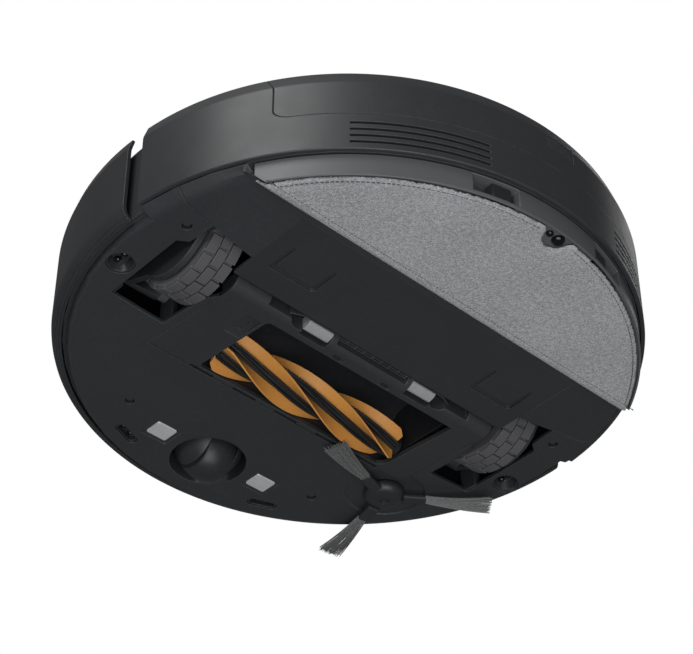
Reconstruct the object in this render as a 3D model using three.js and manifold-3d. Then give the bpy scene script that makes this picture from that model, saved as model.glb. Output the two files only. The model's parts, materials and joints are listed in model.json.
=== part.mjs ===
// Robot vacuum cleaner with a mopping pad, in millimetres.
// +Z is up, the floor is z = 0, the bumper faces -Y and the mop faces +Y, so +X is the robot's left.
// The origin is on the floor, on the axis of the round body.
import * as THREE from 'three';
import { ConvexGeometry } from 'three/addons/geometries/ConvexGeometry.js';
import { mergeVertices } from 'three/addons/utils/BufferGeometryUtils.js';
import Module from 'manifold-3d';

// ---- driving dimensions ----
// the round body and its walls
const BODY_R = 175;
const BODY_TOP = 78.5;
const WALL = 2.5;              // moulded wall
const GAP = 0.4;               // joint line between two mouldings
const SHOULDER_Z = 67.5;       // where the wall starts to lean inwards
const BAND_Z = 16.9;           // lower edge of the rear shell
const SHELL_END_Y = 20;
const WALL_OUT = [[BODY_R, SHOULDER_Z], [BODY_R - 3.5, BODY_TOP - 0.8], [BODY_R - 5, BODY_TOP]];
const DECK_R = 163;            // top cover
const DECK_T = 2.5;
const UPSTAND = { r: 168, wall: 2, low: 17.9, top: 68.5, endY: 34 };
const BUMPER = { endY: 8, lipR: 168.4, lipZ: 15.6 };
const SENSOR = { halfX: 56, z0: 38, z1: 54 };
const BUTTON = { x: 12, y: -62, r: 7, stemR: 2.5, low: 74, high: BODY_TOP + 0.4 };
const VENT = { rows: 4, z: 36.2, pitch: 4.75, height: 1.9, from: 47.7, to: 73.4 };
const LIDAR = { y: 20, holeR: 42, capR: 46, top: 96 };

// the underside, at three levels: belly, battery door, brush guard
const BELLY_Z = 11.5;
const BELLY_T = 2.5;
const DOOR_Z = 6.7;
const GUARD_Z = 2.5;
const RIDGE_Y = 13;            // lowest line of the guard
const DOOR = { halfX: 106, y0: 21.2, y1: 81, flankX: 141 };
const DOOR_DIP = { x: 79, y: 51.5, w: 33, d: 26, corner: 3, groove: 2.5, notch: 6 };
const EDGE_LOW = [[0, BELLY_Z], [163.4, BELLY_Z], [165, 13], [165.4, 17.9], [UPSTAND.r, 18.4]];
const EDGE_REAR = [[0, BELLY_Z], [163, BELLY_Z], [168.5, 13.2], [172.1, 16.4], [172.1, 19]];
const SEAM = [[107, 37.5], [122, 37.8], [133, 38.4], [154.5, 42.4], [169, 47.4], [185, 54]];
const SCREWS = [[146, 29], [-146, 29], [73.5, -114], [-73.5, -114]];
const CLIFF_ROUND = [[154, -19.5], [-154, -19.5]];
const CLIFF_SLOTS = [[55, -141], [-55, -141]];
const CONTACT = { x: 40, y: -125, w: 15, d: 13 };

// drive wheels and their wells
const WHEEL_R = 35;
const TYRE_X = [107.7, 128.9];
const AXLE_Y = 2;
const PIVOT = { y: -40, z: 30, r: 6.5, boreR: 2.9 };
const WELL = [[107, -40], [142.7, -43], [143, 16], [137, 20], [135, 45], [101, 45], [101, 4], [106, -4]];
const EARS = [{ x: [141, 146], low: 12 }, { x: [101.6, 105.4], low: 8.6 }];
const HOOD_R = 39;
const CASTER = { y: -129, holeR: 24.3, domeR: 22.6, wheelR: 18.5, wheelHalf: 10, cupTop: 52 };

// brush head: guard, roller, side brush
const GUARD = { halfX: 101, y0: -60.5, y1: 20.5 };
const GUARD_SLOTS = [62, 29, -4, -37, -70];
const GUARD_LATCHES = [38, -44];
const LATCH_HALF_X = 9.2;
const THUMB = { x: 73.8, y: -8.5, w: 10.8, d: 21, corner: 4, top: 5.9 };
const MOUTH = { x0: -81, x1: 66.5, y0: -57.2, y1: 5.5 };
const ROLLER = { y: -43, z: 16.2, finR: 14, coreR: 5, shaftR: 2.2, x0: -76, x1: 64 };
const ROLLER_ENDS = { left: [70.4, 76.4], right: [-92.4, -85.4] };
const FINS = { count: 4, steps: 16, startDegrees: -89, turnDegrees: 232, thick: 2.2, sleeve: 1.3, clear: 0.7 };
const CHAMBER = { x0: -85, x1: 70, y0: -59.5, y1: 20, z0: 13.6, z1: 49.5 };
const VAULT = { y: -33, z: 23, r: 24, frontY: -58 };
const DUCT = { x0: -30, x1: 26, y0: -6, y1: 61, y2: 12, z0: 51.5, z1: 62, wall: 1.6 };
const COMB = { ribs: 9, pitch: 5.6, thick: 1.4 };
const SIDE_BRUSH = { x: -103.2, y: -77.4, hubR: 13, armR: 26, kneeR: 45, reach: 65, z: 3.8 };
const SIDE_BRUSH_ARMS = [-100.3, 19.7, 139.7];   // degrees from +X

// dust bin, air and mop
const BIN_HALF_X = 145.2;      // half width of the dust bin's outer wall, at its joint lines
const BIN_Z = 43;
const BIN_BOX = { halfX: 92, y0: 62, r: 166, z0: 44, z1: 75, wall: 2 };
const GRIP = { halfX: 10.6, z0: 58.4, z1: 67.2 };
const FILTER = { x0: 34, x1: 86, y0: 84, y1: 130 };
const FAN = { x: 72, y: 108, r: 33, z0: 20, z1: 41.5 };
const PAD = { r: 169.6, chordY: 84, faceY: 90, thick: 3, bevelTop: 7.4 };
const PAD_BEVEL = [[PAD.faceY, 0], [PAD.chordY, PAD.bevelTop]];
const BRACKET = { r: 171.2, z1: 16.6, rimZ: 1.2 };
const LATCH_NOTCH = { x0: 33, x1: 58, depth: 11 };

const ROUND = 48;              // sides of the body's big circles
const SMALL = 24;              // sides of small round parts

// ---- finishes ----
const FINISHES = {
  shell: [0x2b2c2e, 0.5, 0],
  bumper: [0x26272a, 0.52, 0],
  belly: [0x232527, 0.62, 0],
  inner: [0x1a1b1d, 0.7, 0],
  rubber: [0x3c3c3e, 0.85, 0],
  roller: [0xc98a3c, 0.6, 0],
  bristle: [0x6a6b6c, 0.8, 0],
  cloth: [0x7a7b7d, 0.95, 0],
  bracket: [0x4c4d50, 0.55, 0],
  latch: [0x6d6e70, 0.55, 0],
  gloss: [0x0c0d10, 0.15, 0],
  plate: [0xb9bbbd, 0.35, 0.9],
  steel: [0x9a9c9f, 0.35, 1],
  board: [0x1f5a36, 0.6, 0],
  cell: [0x2a4b7c, 0.55, 0],
  filter: [0xd8d8d2, 0.9, 0],
};

const wasm = await Module();
wasm.setup();
const robot = new THREE.Group();

// ---- solids: three.js geometry, joined and cut ----
function toSolid(geometry) {
  const bare = geometry.clone();
  bare.deleteAttribute('normal');
  bare.deleteAttribute('uv');
  const merged = mergeVertices(bare, 1e-4);
  const index = [];
  for (let i = 0; i < merged.index.count; i += 3) {
    const [a, b, c] = [0, 1, 2].map((k) => merged.index.getX(i + k));
    if (a !== b && b !== c && c !== a) index.push(a, b, c);
  }
  const vertProperties = new Float32Array(merged.attributes.position.array);
  const triVerts = new Uint32Array(index);
  return new wasm.Manifold(new wasm.Mesh({ numProp: 3, vertProperties, triVerts }));
}

function toGeometry(solid) {
  const mesh = solid.getMesh();
  const geometry = new THREE.BufferGeometry();
  geometry.setAttribute('position', new THREE.BufferAttribute(mesh.vertProperties, 3));
  geometry.setIndex(new THREE.BufferAttribute(mesh.triVerts, 1));
  geometry.computeVertexNormals();
  return geometry;
}

const cut = (solid, ...tools) => tools.reduce((left, tool) => left.subtract(tool), solid);
const join = (solid, ...others) => others.reduce((sum, other) => sum.add(other), solid);
const common = (solid, ...others) => others.reduce((rest, other) => rest.intersect(other), solid);
const moved = (solid, x, y, z) => solid.translate([x, y, z]);
const mirrored = (solid) => solid.mirror([1, 0, 0]);

function block(x0, x1, y0, y1, z0, z1) {
  const box = new THREE.BoxGeometry(x1 - x0, y1 - y0, z1 - z0);
  return toSolid(box.translate((x0 + x1) / 2, (y0 + y1) / 2, (z0 + z1) / 2));
}

// A closed profile of [radius, height] points turned about the Z axis.
function turned(profile, sides = ROUND) {
  const area = profile.reduce((sum, [r, z], i) => {
    const [r2, z2] = profile[(i + 1) % profile.length];
    return sum + r * z2 - r2 * z;
  }, 0);
  const loop = area > 0 ? profile : [...profile].reverse();
  const points = [...loop, loop[0]].map(([r, z]) => new THREE.Vector2(r, z));
  return toSolid(new THREE.LatheGeometry(points, sides).rotateX(Math.PI / 2));
}

function ring(rIn, rOut, z0, z1, sides = ROUND) {
  return turned([[rIn, z0], [rOut, z0], [rOut, z1], [rIn, z1]], sides);
}

function disc(x, y, r, z0, z1, sides = SMALL) {
  const drum = new THREE.CylinderGeometry(r, r, z1 - z0, sides).rotateX(Math.PI / 2);
  return toSolid(drum.translate(x, y, (z0 + z1) / 2));
}

// A round bar along X.
function bar(x0, x1, y, z, r, sides = SMALL) {
  const drum = new THREE.CylinderGeometry(r, r, x1 - x0, sides).rotateZ(Math.PI / 2);
  return toSolid(drum.translate((x0 + x1) / 2, y, z));
}

// A profile of [radius, x] points turned about an axis along X.
function turnedX(profile, y, z, sides) {
  const about = turned(profile, sides);
  return about.rotate([0, 90, 0]).translate([0, y, z]);
}

function prism(outline, z0, z1) {
  const shape = new THREE.Shape(outline.map(([x, y]) => new THREE.Vector2(x, y)));
  const slab = new THREE.ExtrudeGeometry(shape, { depth: z1 - z0, bevelEnabled: false, curveSegments: 8 });
  return toSolid(slab.translate(0, 0, z0));
}

// An outline of [y, z] points drawn out along X.
function prismX(outline, x0, x1) {
  const shape = new THREE.Shape(outline.map(([y, z]) => new THREE.Vector2(y, z)));
  const slab = new THREE.ExtrudeGeometry(shape, { depth: x1 - x0, bevelEnabled: false });
  const [X, Y, Z] = [0, 1, 2].map((k) => new THREE.Vector3().setComponent(k, 1));
  slab.applyMatrix4(new THREE.Matrix4().makeBasis(Y, Z, X));
  return toSolid(slab.translate(x0, 0, 0));
}

// An outline of [x, z] points drawn out along Y.
function prismY(outline, y0, y1) {
  const shape = new THREE.Shape(outline.map(([x, z]) => new THREE.Vector2(x, z)));
  const slab = new THREE.ExtrudeGeometry(shape, { depth: y1 - y0, bevelEnabled: false });
  const [X, Y, Z] = [0, 1, 2].map((k) => new THREE.Vector3().setComponent(k, 1));
  slab.applyMatrix4(new THREE.Matrix4().makeBasis(X, Z, Y.negate()));
  return toSolid(slab.translate(0, y1, 0));
}

const hull = (points) => toSolid(new ConvexGeometry(points.map((p) => new THREE.Vector3(...p))));

function roundedBox(cx, cy, w, d, corner, z0, z1) {
  const outline = [];
  for (let k = 0; k < 4; k++) {
    const [sx, sy] = [[1, 1], [-1, 1], [-1, -1], [1, -1]][k];
    for (let i = 0; i <= 4; i++) {
      const a = (k * 90 + i * 22.5) * Math.PI / 180;
      outline.push([cx + sx * (w / 2 - corner) + corner * Math.cos(a),
        cy + sy * (d / 2 - corner) + corner * Math.sin(a)]);
    }
  }
  return prism(outline, z0, z1);
}

const onPolar = (r, degrees) => [r * Math.cos(degrees * Math.PI / 180), r * Math.sin(degrees * Math.PI / 180)];
const front = block(-200, 200, -200, SHELL_END_Y, -10, 120);
const rear = block(-200, 200, SHELL_END_Y, 200, -10, 120);

function piece(name, solid, finish) {
  const [color, roughness, metalness] = FINISHES[finish];
  const material = new THREE.MeshStandardMaterial({ color, roughness, metalness });
  const mesh = new THREE.Mesh(toGeometry(solid), material);
  mesh.name = name;
  robot.add(mesh);
}

// ---- underside: two moulded levels and the sloping nose of the brush ramp ----
// The ramp that carries the brush: lowest at RIDGE_Y, level with the belly at its nose and flanks.
function ramp(rise) {
  const low = GUARD_Z + rise;
  const nose = 7.5 + rise;
  const flat = BELLY_Z + 0.5 + rise;
  const half = [
    [GUARD.halfX, RIDGE_Y, low], [108.7, -42, nose], [84, -62, 9.2 + rise],
    [143, -42, flat], [128, -74, flat], [60, -88, flat], [GUARD.halfX, RIDGE_Y, flat],
  ];
  return hull([...half, ...half.map(([x, y, z]) => [-x, y, z])]);
}

// The raised flat behind the ramp, falling away to the belly on both sides.
function doorFlat(rise, rearY) {
  const low = DOOR_Z + rise;
  const flat = BELLY_Z + 0.5 + rise;
  const half = [
    [DOOR.halfX, RIDGE_Y, low], [DOOR.halfX, rearY, low],
    [DOOR.flankX, RIDGE_Y, flat], [DOOR.flankX, rearY, flat],
  ];
  return hull([...half, ...half.map(([x, y, z]) => [-x, y, z])]);
}

function bellySkin(edge, rearY) {
  const outer = join(turned([...edge, [0, edge.at(-1)[1]]]), ramp(0), doorFlat(0, rearY));
  const inside = edge.filter(([r]) => r > 0 && r < edge.at(-1)[0]).map(([r, z]) => [r - 1.5, z + BELLY_T]);
  const top = edge.at(-1)[1] + 1;
  const hollow = join(
    turned([[0, BELLY_Z + BELLY_T], ...inside, [inside.at(-1)[0], top], [0, top]], ROUND / 2),
    ramp(BELLY_T), doorFlat(BELLY_T, rearY),
  );
  return cut(outer, hollow);
}

function rearRegion(grow) {
  const side = SEAM.map(([x, y]) => [x, y - grow]);
  const outline = [...side, [185, 200], [-185, 200], ...side.map(([x, y]) => [-x, y]).reverse()];
  return prism(outline, -5, 30);
}

function doorRegion(grow) {
  return block(-DOOR.halfX - grow, DOOR.halfX + grow, DOOR.y0 - grow, DOOR.y1 + grow, 0, 30);
}

function wheelWell(side) {
  const well = prism(WELL, -5, 30);
  return side > 0 ? well : mirrored(well);
}

function slotBlock([x, y], w, d, z0, z1) {
  const turn = Math.atan2(y, x) * 180 / Math.PI - 90;
  return roundedBox(0, 0, w, d, d / 2 - 0.1, z0, z1).rotate([0, 0, turn]).translate([x, y, 0]);
}

function pivotEar(side, { x: [x0, x1], low }) {
  const ear = join(
    block(x0, x1, PIVOT.y - 6, PIVOT.y + 6, low, PIVOT.z),
    bar(x0, x1, PIVOT.y, PIVOT.z, 6),
  );
  const drilled = cut(ear, bar(x0 - 1, x1 + 1, PIVOT.y, PIVOT.z, PIVOT.boreR));
  return side > 0 ? drilled : mirrored(drilled);
}

function chassisTray() {
  const skin = cut(bellySkin(EDGE_LOW, DOOR.y1), block(-200, 200, SHELL_END_Y, 200, -5, 90));
  const rearSkin = common(bellySkin(EDGE_REAR, DOOR.y1), block(-200, 200, SHELL_END_Y, 60, -5, 90));
  const upstand = common(
    ring(UPSTAND.r - UPSTAND.wall, UPSTAND.r, UPSTAND.low, UPSTAND.top),
    block(-200, 200, -200, UPSTAND.endY, 0, 90),
  );
  const cup = cut(
    disc(0, CASTER.y, CASTER.holeR + 2, 12, CASTER.cupTop),
    disc(0, CASTER.y, CASTER.holeR, 5, CASTER.cupTop - 2.5),
    disc(0, CASTER.y, 5.5, 5, 60, 16),
  );
  const dish = disc(SIDE_BRUSH.x, SIDE_BRUSH.y, 29, 12.6, 15);
  const ears = [1, -1].flatMap((side) => EARS.map((ear) => pivotEar(side, ear)));
  const tray = cut(
    join(skin, rearSkin, dish, upstand),
    rearRegion(GAP / 2), doorRegion(GAP / 2), wheelWell(1), wheelWell(-1),
    block(-GUARD.halfX - GAP, GUARD.halfX + GAP, GUARD.y0 - 0.8, GUARD.y1 + 1, 0, 30),
    disc(0, CASTER.y, CASTER.holeR, 5, CASTER.cupTop - 2.5),
    disc(SIDE_BRUSH.x, SIDE_BRUSH.y, 26, 5, 12.6),
    disc(SIDE_BRUSH.x, SIDE_BRUSH.y, 4.6, 5, 40, 16),
    ...[1, -1].map((s) => roundedBox(s * CONTACT.x, CONTACT.y, CONTACT.w + 4.5, CONTACT.d + 4.5, 2, 5, 12.2)),
    ...[1, -1].map((s) => roundedBox(s * CONTACT.x, CONTACT.y, CONTACT.w + 0.6, CONTACT.d + 0.6, 1, 5, 20)),
    ...CLIFF_ROUND.map(([x, y]) => disc(x, y, 8.6, 5, 20, 20)),
    ...CLIFF_SLOTS.map((at) => slotBlock(at, 20, 7, 5, 17)),
    ...SCREWS.map(([x, y]) => disc(x, y, 3.2, 5, 30, 12)),
  );
  return join(tray, cup, ...ears);
}

function rearLowerCover() {
  const skin = common(bellySkin(EDGE_REAR, DOOR.y1 + 3), block(-200, 200, 30, DOOR.y1 + 3, -5, 60));
  const recess = common(disc(0, 0, 172.1, 17.2, 19.6, ROUND), block(-200, 200, DOOR.y1, 200, 0, 60));
  const riser = block(-151, 151, DOOR.y1 + 0.4, DOOR.y1 + 2.6, DOOR.y1 / 9, 18);
  const riserInside = common(riser, join(disc(0, 0, 172, 11.6, 19, ROUND), doorFlat(0.1, 90)));
  return cut(
    common(join(skin, recess, riserInside), rearRegion(-GAP / 2)),
    doorRegion(GAP / 2),
  );
}

function batteryDoor() {
  const slab = block(-DOOR.halfX, DOOR.halfX, DOOR.y0, DOOR.y1, DOOR_Z, DOOR_Z + BELLY_T);
  return cut(slab, ...doorDip(DOOR_DIP.x), ...doorDip(-DOOR_DIP.x));
}

// A shallow square finger dip with a deeper U-shaped groove round three of its sides.
function doorDip(cx) {
  const { y, w, d, corner, groove, notch } = DOOR_DIP;
  const floor = roundedBox(cx, y, w - 2 * groove, d - 2 * groove, corner / 2, DOOR_Z - 1, DOOR_Z + 0.7);
  const outline = cut(
    roundedBox(cx, y, w, d, corner, DOOR_Z - 1, DOOR_Z + 1.4),
    roundedBox(cx, y, w - 2 * groove, d - 2 * groove, corner / 2, 0, 20),
    block(cx - w, cx + w, y + d / 2 - notch, y + d, 0, 20),
  );
  return [floor, outline];
}

// ---- outer walls ----
function wallBand(lowZ) {
  return turned([
    [BODY_R - WALL, lowZ], [BODY_R, lowZ], ...WALL_OUT, [DECK_R + GAP, BODY_TOP],
    [DECK_R + GAP, BODY_TOP - DECK_T], [BODY_R - 6.4, BODY_TOP - DECK_T], [BODY_R - WALL, SHOULDER_Z - 0.5],
  ]);
}

// The opening for the dust bin: upright sides, round lower corners.
function binWindow(shrink) {
  const half = BIN_HALF_X - shrink;
  const low = BIN_Z + shrink;
  const corner = [0, 30, 60, 90].map((a) => {
    const t = a * Math.PI / 180;
    return [half - 3.4 + 3.4 * Math.sin(t), low + 6 - 6 * Math.cos(t)];
  });
  const outline = [...corner, [half, 100], [-half, 100], ...corner.map(([x, z]) => [-x, z]).reverse()];
  return prismY(outline, 60, 190);
}

function ventSlots() {
  const fan = prism([[0, 0], onPolar(260, VENT.from), onPolar(260, VENT.to)], 0, 60);
  return Array.from({ length: VENT.rows }, (_, i) => {
    const z = VENT.z - i * VENT.pitch;
    return common(ring(168, 180, z - VENT.height / 2, z + VENT.height / 2), fan);
  });
}

function sideShell() {
  const band = common(wallBand(BAND_Z), rear);
  return cut(band, binWindow(0), ...ventSlots(), ...ventSlots().map(mirrored));
}

function binRearCover() {
  const pocket = block(-GRIP.halfX - GAP, GRIP.halfX + GAP, 150, 190, GRIP.z0 - GAP, GRIP.z1 + GAP);
  return cut(common(wallBand(BAND_Z), rear, binWindow(GAP)), pocket);
}

function binButton() {
  return common(ring(170.5, 174.8, GRIP.z0, GRIP.z1), block(-GRIP.halfX, GRIP.halfX, 150, 190, 0, 90));
}

function bumperShell() {
  const { lipR, lipZ } = BUMPER;
  const profile = [
    [lipR, lipZ], [170.5, lipZ + 0.3], [173.2, 18], [174.8, 22], [BODY_R, 23.5], [BODY_R, SHOULDER_Z],
    [172.4, 76], [170.4, 76], [BODY_R - WALL, SHOULDER_Z - 0.3], [BODY_R - WALL, 24], [172, 20.2],
    [171, 17.8], [lipR, 17.3],
  ];
  const half = common(turned(profile), block(-200, 200, -200, BUMPER.endY, 0, 100));
  return cut(half, sensorPocket(GAP));
}

function sensorPocket(grow) {
  return block(-SENSOR.halfX - grow, SENSOR.halfX + grow, -200, -100, SENSOR.z0 - grow, SENSOR.z1 + grow);
}

function topCover() {
  const deck = disc(0, 0, DECK_R, BODY_TOP - DECK_T, BODY_TOP, ROUND);
  const skirt = common(ring(DECK_R - 2, DECK_R, 56, BODY_TOP - 1), front);
  return cut(
    join(deck, skirt),
    disc(0, LIDAR.y, LIDAR.holeR, 60, 90, 32),
    ...[1, -1].map((s) => disc(s * BUTTON.x, BUTTON.y, BUTTON.r + GAP, 60, 90, 16)),
  );
}

function deckButton(side) {
  return join(
    disc(side * BUTTON.x, BUTTON.y, BUTTON.r, BUTTON.low, BUTTON.high, 16),
    disc(side * BUTTON.x, BUTTON.y, BUTTON.stemR, 68.5, BUTTON.low + 0.5, 8),
  );
}

// ---- laser turret ----
function lidarTurret() {
  const [low, high] = [BODY_TOP + 0.3, LIDAR.top];
  const foot = ring(LIDAR.holeR - 1, LIDAR.capR + 2, low, low + 2.2, 32);
  const cap = turned([[0, high - 3], [LIDAR.capR, high - 3], [LIDAR.capR, high - 1], [LIDAR.capR - 1.5, high],
    [0, high]], 32);
  const posts = [45, 135, 225, 315].map((a) => {
    const [x, y] = onPolar(LIDAR.capR - 2.6, a);
    return disc(x, y, 2.4, low + 1, high - 2, 8);
  });
  return moved(join(foot, cap, ...posts), 0, LIDAR.y, 0);
}

function lidarRotor() {
  const drum = turned([[0, 70], [12, 70], [12, 73.5], [36, 73.5], [38, 75.5], [38, 90], [36, 92], [0, 92]], 32);
  const eyes = [-1, 1].map((s) => disc(s * 14, 0, 6.5, -60, -34, 20).rotate([-90, 0, 0]).translate([0, 0, 84]));
  return moved(cut(drum, ...eyes), 0, LIDAR.y, 0);
}

// ---- drive wheels ----
function wheelArm(side) {
  const [tyreIn, tyreOut] = TYRE_X;
  const [outer, inner] = [[tyreOut + 1.6, tyreOut + 5.4], [tyreIn - 4.2, tyreIn - 0.9]];
  const hood = common(
    cut(bar(inner[0], outer[1], AXLE_Y, WHEEL_R, HOOD_R), bar(0, 200, AXLE_Y, WHEEL_R, HOOD_R - 2.2)),
    block(0, 200, -60, 60, 52, 90),
  );
  const fender = join(
    bar(...outer, AXLE_Y, WHEEL_R, 30),
    prismX([[PIVOT.y, PIVOT.z - 7], [AXLE_Y, 6.5], [AXLE_Y, 58], [PIVOT.y, PIVOT.z + 7]], ...outer),
    common(bar(...outer, AXLE_Y, WHEEL_R, HOOD_R), block(0, 200, -60, 60, 45, 90)),
  );
  const cheek = common(bar(...inner, AXLE_Y, WHEEL_R, HOOD_R), block(0, 200, -60, 60, 44, 90));
  const barrel = bar(112, outer[1], PIVOT.y, PIVOT.z, 6.5);
  const lug = prismX([[PIVOT.y + 2, 44], [PIVOT.y + 2, 70], [-20, 70], [-20, 44]], ...inner);
  const arm = cut(
    join(fender, hood, cheek, barrel, lug),
    bar(100, 150, PIVOT.y, PIVOT.z, 2.9),
    bar(128, 150, AXLE_Y, WHEEL_R, 3.4),
  );
  return side > 0 ? arm : mirrored(arm);
}

function driveMotor(side) {
  const motor = join(bar(88, 103, -28, 58, 11.5), bar(86.2, 89, -28, 58, 4, 16));
  return side > 0 ? motor : mirrored(motor);
}

function suspensionPin(side) {
  const pin = bar(EARS[1].x[0] + 0.5, EARS[0].x[1] - 0.5, PIVOT.y, PIVOT.z, PIVOT.boreR - 0.4, 16);
  return side > 0 ? pin : mirrored(pin);
}

function suspensionSpring(side) {
  const coils = turnedX([[2.9, 105.9], [5.6, 105.9], [5.6, 111.4], [2.9, 111.4]], PIVOT.y, PIVOT.z, 20);
  return side > 0 ? coils : mirrored(coils);
}

function wheelHub(side) {
  const hub = turnedX([
    [0, 109], [22, 109], [22, 110.5], [24, 110.5], [24, 126.6], [22, 129.4], [9, 129.4], [8, 130], [3, 130],
    [3, 134.2], [0, 134.2],
  ], AXLE_Y, WHEEL_R, 24);
  return side > 0 ? hub : mirrored(hub);
}

function tyre(side) {
  const [x0, x1] = TYRE_X;
  const band = turnedX([
    [24.4, x0], [WHEEL_R - 1.5, x0], [WHEEL_R, x0 + 1.2], [WHEEL_R, x1 - 1.2], [WHEEL_R - 1.5, x1], [24.4, x1],
  ], AXLE_Y, WHEEL_R, 32);
  return side > 0 ? band : mirrored(band);
}

// ---- caster ----
function casterTurntable() {
  const dome = toSolid(new THREE.SphereGeometry(CASTER.domeR, 20, 12).rotateX(Math.PI / 2).translate(0, 0, 26));
  const shaped = join(common(dome, block(-30, 30, -30, 30, 4.2, 30)), disc(0, 0, CASTER.domeR, 26, 46.5, 24),
    disc(0, 0, 5, 46, 58, 12));
  const pocket = join(
    block(-CASTER.wheelHalf - 1, CASTER.wheelHalf + 1, -30, 30, 0, CASTER.wheelR),
    bar(-CASTER.wheelHalf - 1, CASTER.wheelHalf + 1, 0, CASTER.wheelR, CASTER.wheelR + 1.4, 24),
  );
  return moved(cut(shaped, pocket, bar(-17, 17, 0, CASTER.wheelR, 2.3, 16)), 0, CASTER.y, 0);
}

function casterWheel() {
  const half = CASTER.wheelHalf;
  const r = CASTER.wheelR;
  return turnedX([[2.4, -half], [r - 3.4, -half], [r - 0.6, -half * 0.5], [r, 0], [r - 0.6, half * 0.5],
    [r - 3.4, half], [2.4, half]], CASTER.y, r, 28);
}

const casterAxle = () => bar(-16.5, 16.5, CASTER.y, CASTER.wheelR, 2, 16);

// ---- contacts and sensors ----
function chargingContact(side) {
  return roundedBox(side * CONTACT.x, CONTACT.y, CONTACT.w, CONTACT.d, 1.2, 11.7, 14.6);
}

function cliffRound([x, y]) {
  const lens = [-3.4, 3.4].map((dx) => disc(x + dx, y, 2.6, 10, 14.4, 10));
  return cut(disc(x, y, 8.2, 12.4, 21, 20), ...lens);
}

function cliffSlot(at) {
  return cut(slotBlock(at, 19.2, 6.2, 12.6, 18), slotBlock(at, 13, 3.6, 10, 14));
}

// ---- brush head ----
function brushGuard() {
  const skin = common(
    cut(ramp(0), ramp(3.4)),
    block(-GUARD.halfX, GUARD.halfX, GUARD.y0, RIDGE_Y, 0, 16),
  );
  const rearBar = prismX([
    [RIDGE_Y - 7.5, 3.3], [RIDGE_Y - 1, GUARD_Z], [RIDGE_Y + 3, GUARD_Z + 0.6], [RIDGE_Y + 6, GUARD_Z + 2.6],
    [GUARD.y1, 8.5], [GUARD.y1, 13], [RIDGE_Y - 7.5, 13],
  ], -GUARD.halfX, GUARD.halfX);
  const recesses = [
    ...GUARD_LATCHES.flatMap((x) => [
      block(x - LATCH_HALF_X - 0.6, x + LATCH_HALF_X + 0.6, RIDGE_Y - 3, GUARD.y1 + 1, 0, 20),
      block(x + (x > 0 ? 9 : -20), x + (x > 0 ? 20 : -9), RIDGE_Y + 0.5, GUARD.y1 + 1, 0, 20),
      block(x + (x > 0 ? 22.5 : -36), x + (x > 0 ? 41 : -22), RIDGE_Y + 3, GUARD.y1 + 1, 0, 20),
    ]),
    block(-33, 24, RIDGE_Y + 3.4, GUARD.y1 + 1, 0, 20),
  ];
  const mouth = prism([
    [MOUTH.x0, MOUTH.y1], [MOUTH.x0, -50.5], [-77, MOUTH.y0], [MOUTH.x1, MOUTH.y0], [MOUTH.x1, MOUTH.y1],
  ], 0, 20);
  const slots = GUARD_SLOTS.map((x) => block(x - 9, x + 9, GUARD.y0 - 1, GUARD.y0 + 2, 0, 10.4));
  const thumb = roundedBox(THUMB.x, THUMB.y, THUMB.w, THUMB.d, THUMB.corner, 0, THUMB.top);
  return cut(join(skin, rearBar), ...recesses, mouth, ...slots, thumb);
}

function guardLatch(x) {
  return prismX([
    [RIDGE_Y - 0.4, 4.6], [RIDGE_Y + 1.5, 3.6], [RIDGE_Y + 5, 4.4], [RIDGE_Y + 7, 6.5], [RIDGE_Y + 7, 12.5],
    [RIDGE_Y - 0.4, 12.5],
  ], x - LATCH_HALF_X, x + LATCH_HALF_X);
}

function brushChamber() {
  const c = CHAMBER;
  const box = block(c.x0, c.x1, c.y0, c.y1, c.z0, c.z1);
  const inside = [c.x0 + 2, c.x1 - 2];
  const drum = bar(...inside, VAULT.y, VAULT.z, VAULT.r, 28);
  const throat = prismX([
    [VAULT.frontY, 5], [7, 5], [7, 16], [2, 24], [-12, 40], [VAULT.y, 46], [VAULT.y - 22, 30], [VAULT.frontY, 20],
  ], ...inside);
  const rise = prismX([[DUCT.y0, 30], [7, 17], [DUCT.y2, 30], [DUCT.y2, c.z1 + 1], [DUCT.y0, c.z1 + 1]],
    DUCT.x0, DUCT.x1);
  const shaft = bar(c.x0 - 5, c.x1 + 5, ROLLER.y, ROLLER.z, ROLLER.shaftR + 0.8);
  const shell = cut(box, drum, throat, rise, shaft);
  const comb = Array.from({ length: COMB.ribs }, (_, i) => {
    const x = DUCT.x0 + COMB.pitch * (i + 1) - COMB.thick / 2;
    return prismX([[-7, 35.5], [3, 23.5], [13, 23.5], [13, 27], [-5, 37.5]], x, x + COMB.thick);
  });
  return join(shell, ...comb.map((rib) => common(rib, box)));
}

// A square pipe that sits on the brush chamber and runs back to the dust bin.
function airDuct() {
  const { x0, x1, y0, y1, y2, z0, z1, wall } = DUCT;
  const low = CHAMBER.z1 + GAP;
  return cut(
    block(x0 - wall, x1 + wall, y0 - wall, y1, low, z1 + wall),
    block(x0, x1, y0, y1 + 2, z0, z1),
    block(x0, x1, y0, y2, low - 1, z0 + 1),
  );
}

// A round-backed block with a bore for the roller's shaft, flat where the guard closes under it.
function rollerBearing([x0, x1]) {
  const { y, z, shaftR } = ROLLER;
  const backed = join(bar(x0, x1, y, z, 8, 28), block(x0, x1, y - 6, y + 8, 11.6, z));
  return cut(common(backed, block(x0, x1, y - 6, y + 9, 11.6, 40)), bar(x0 - 1, x1 + 1, y, z, shaftR + 0.35));
}

function rollerMotor() {
  return join(
    roundedBox(88.2, -34, 22.4, 46, 4, 16.5, 36),
    bar(79, 95, -46, 42, 8, 28),
  );
}

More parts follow.
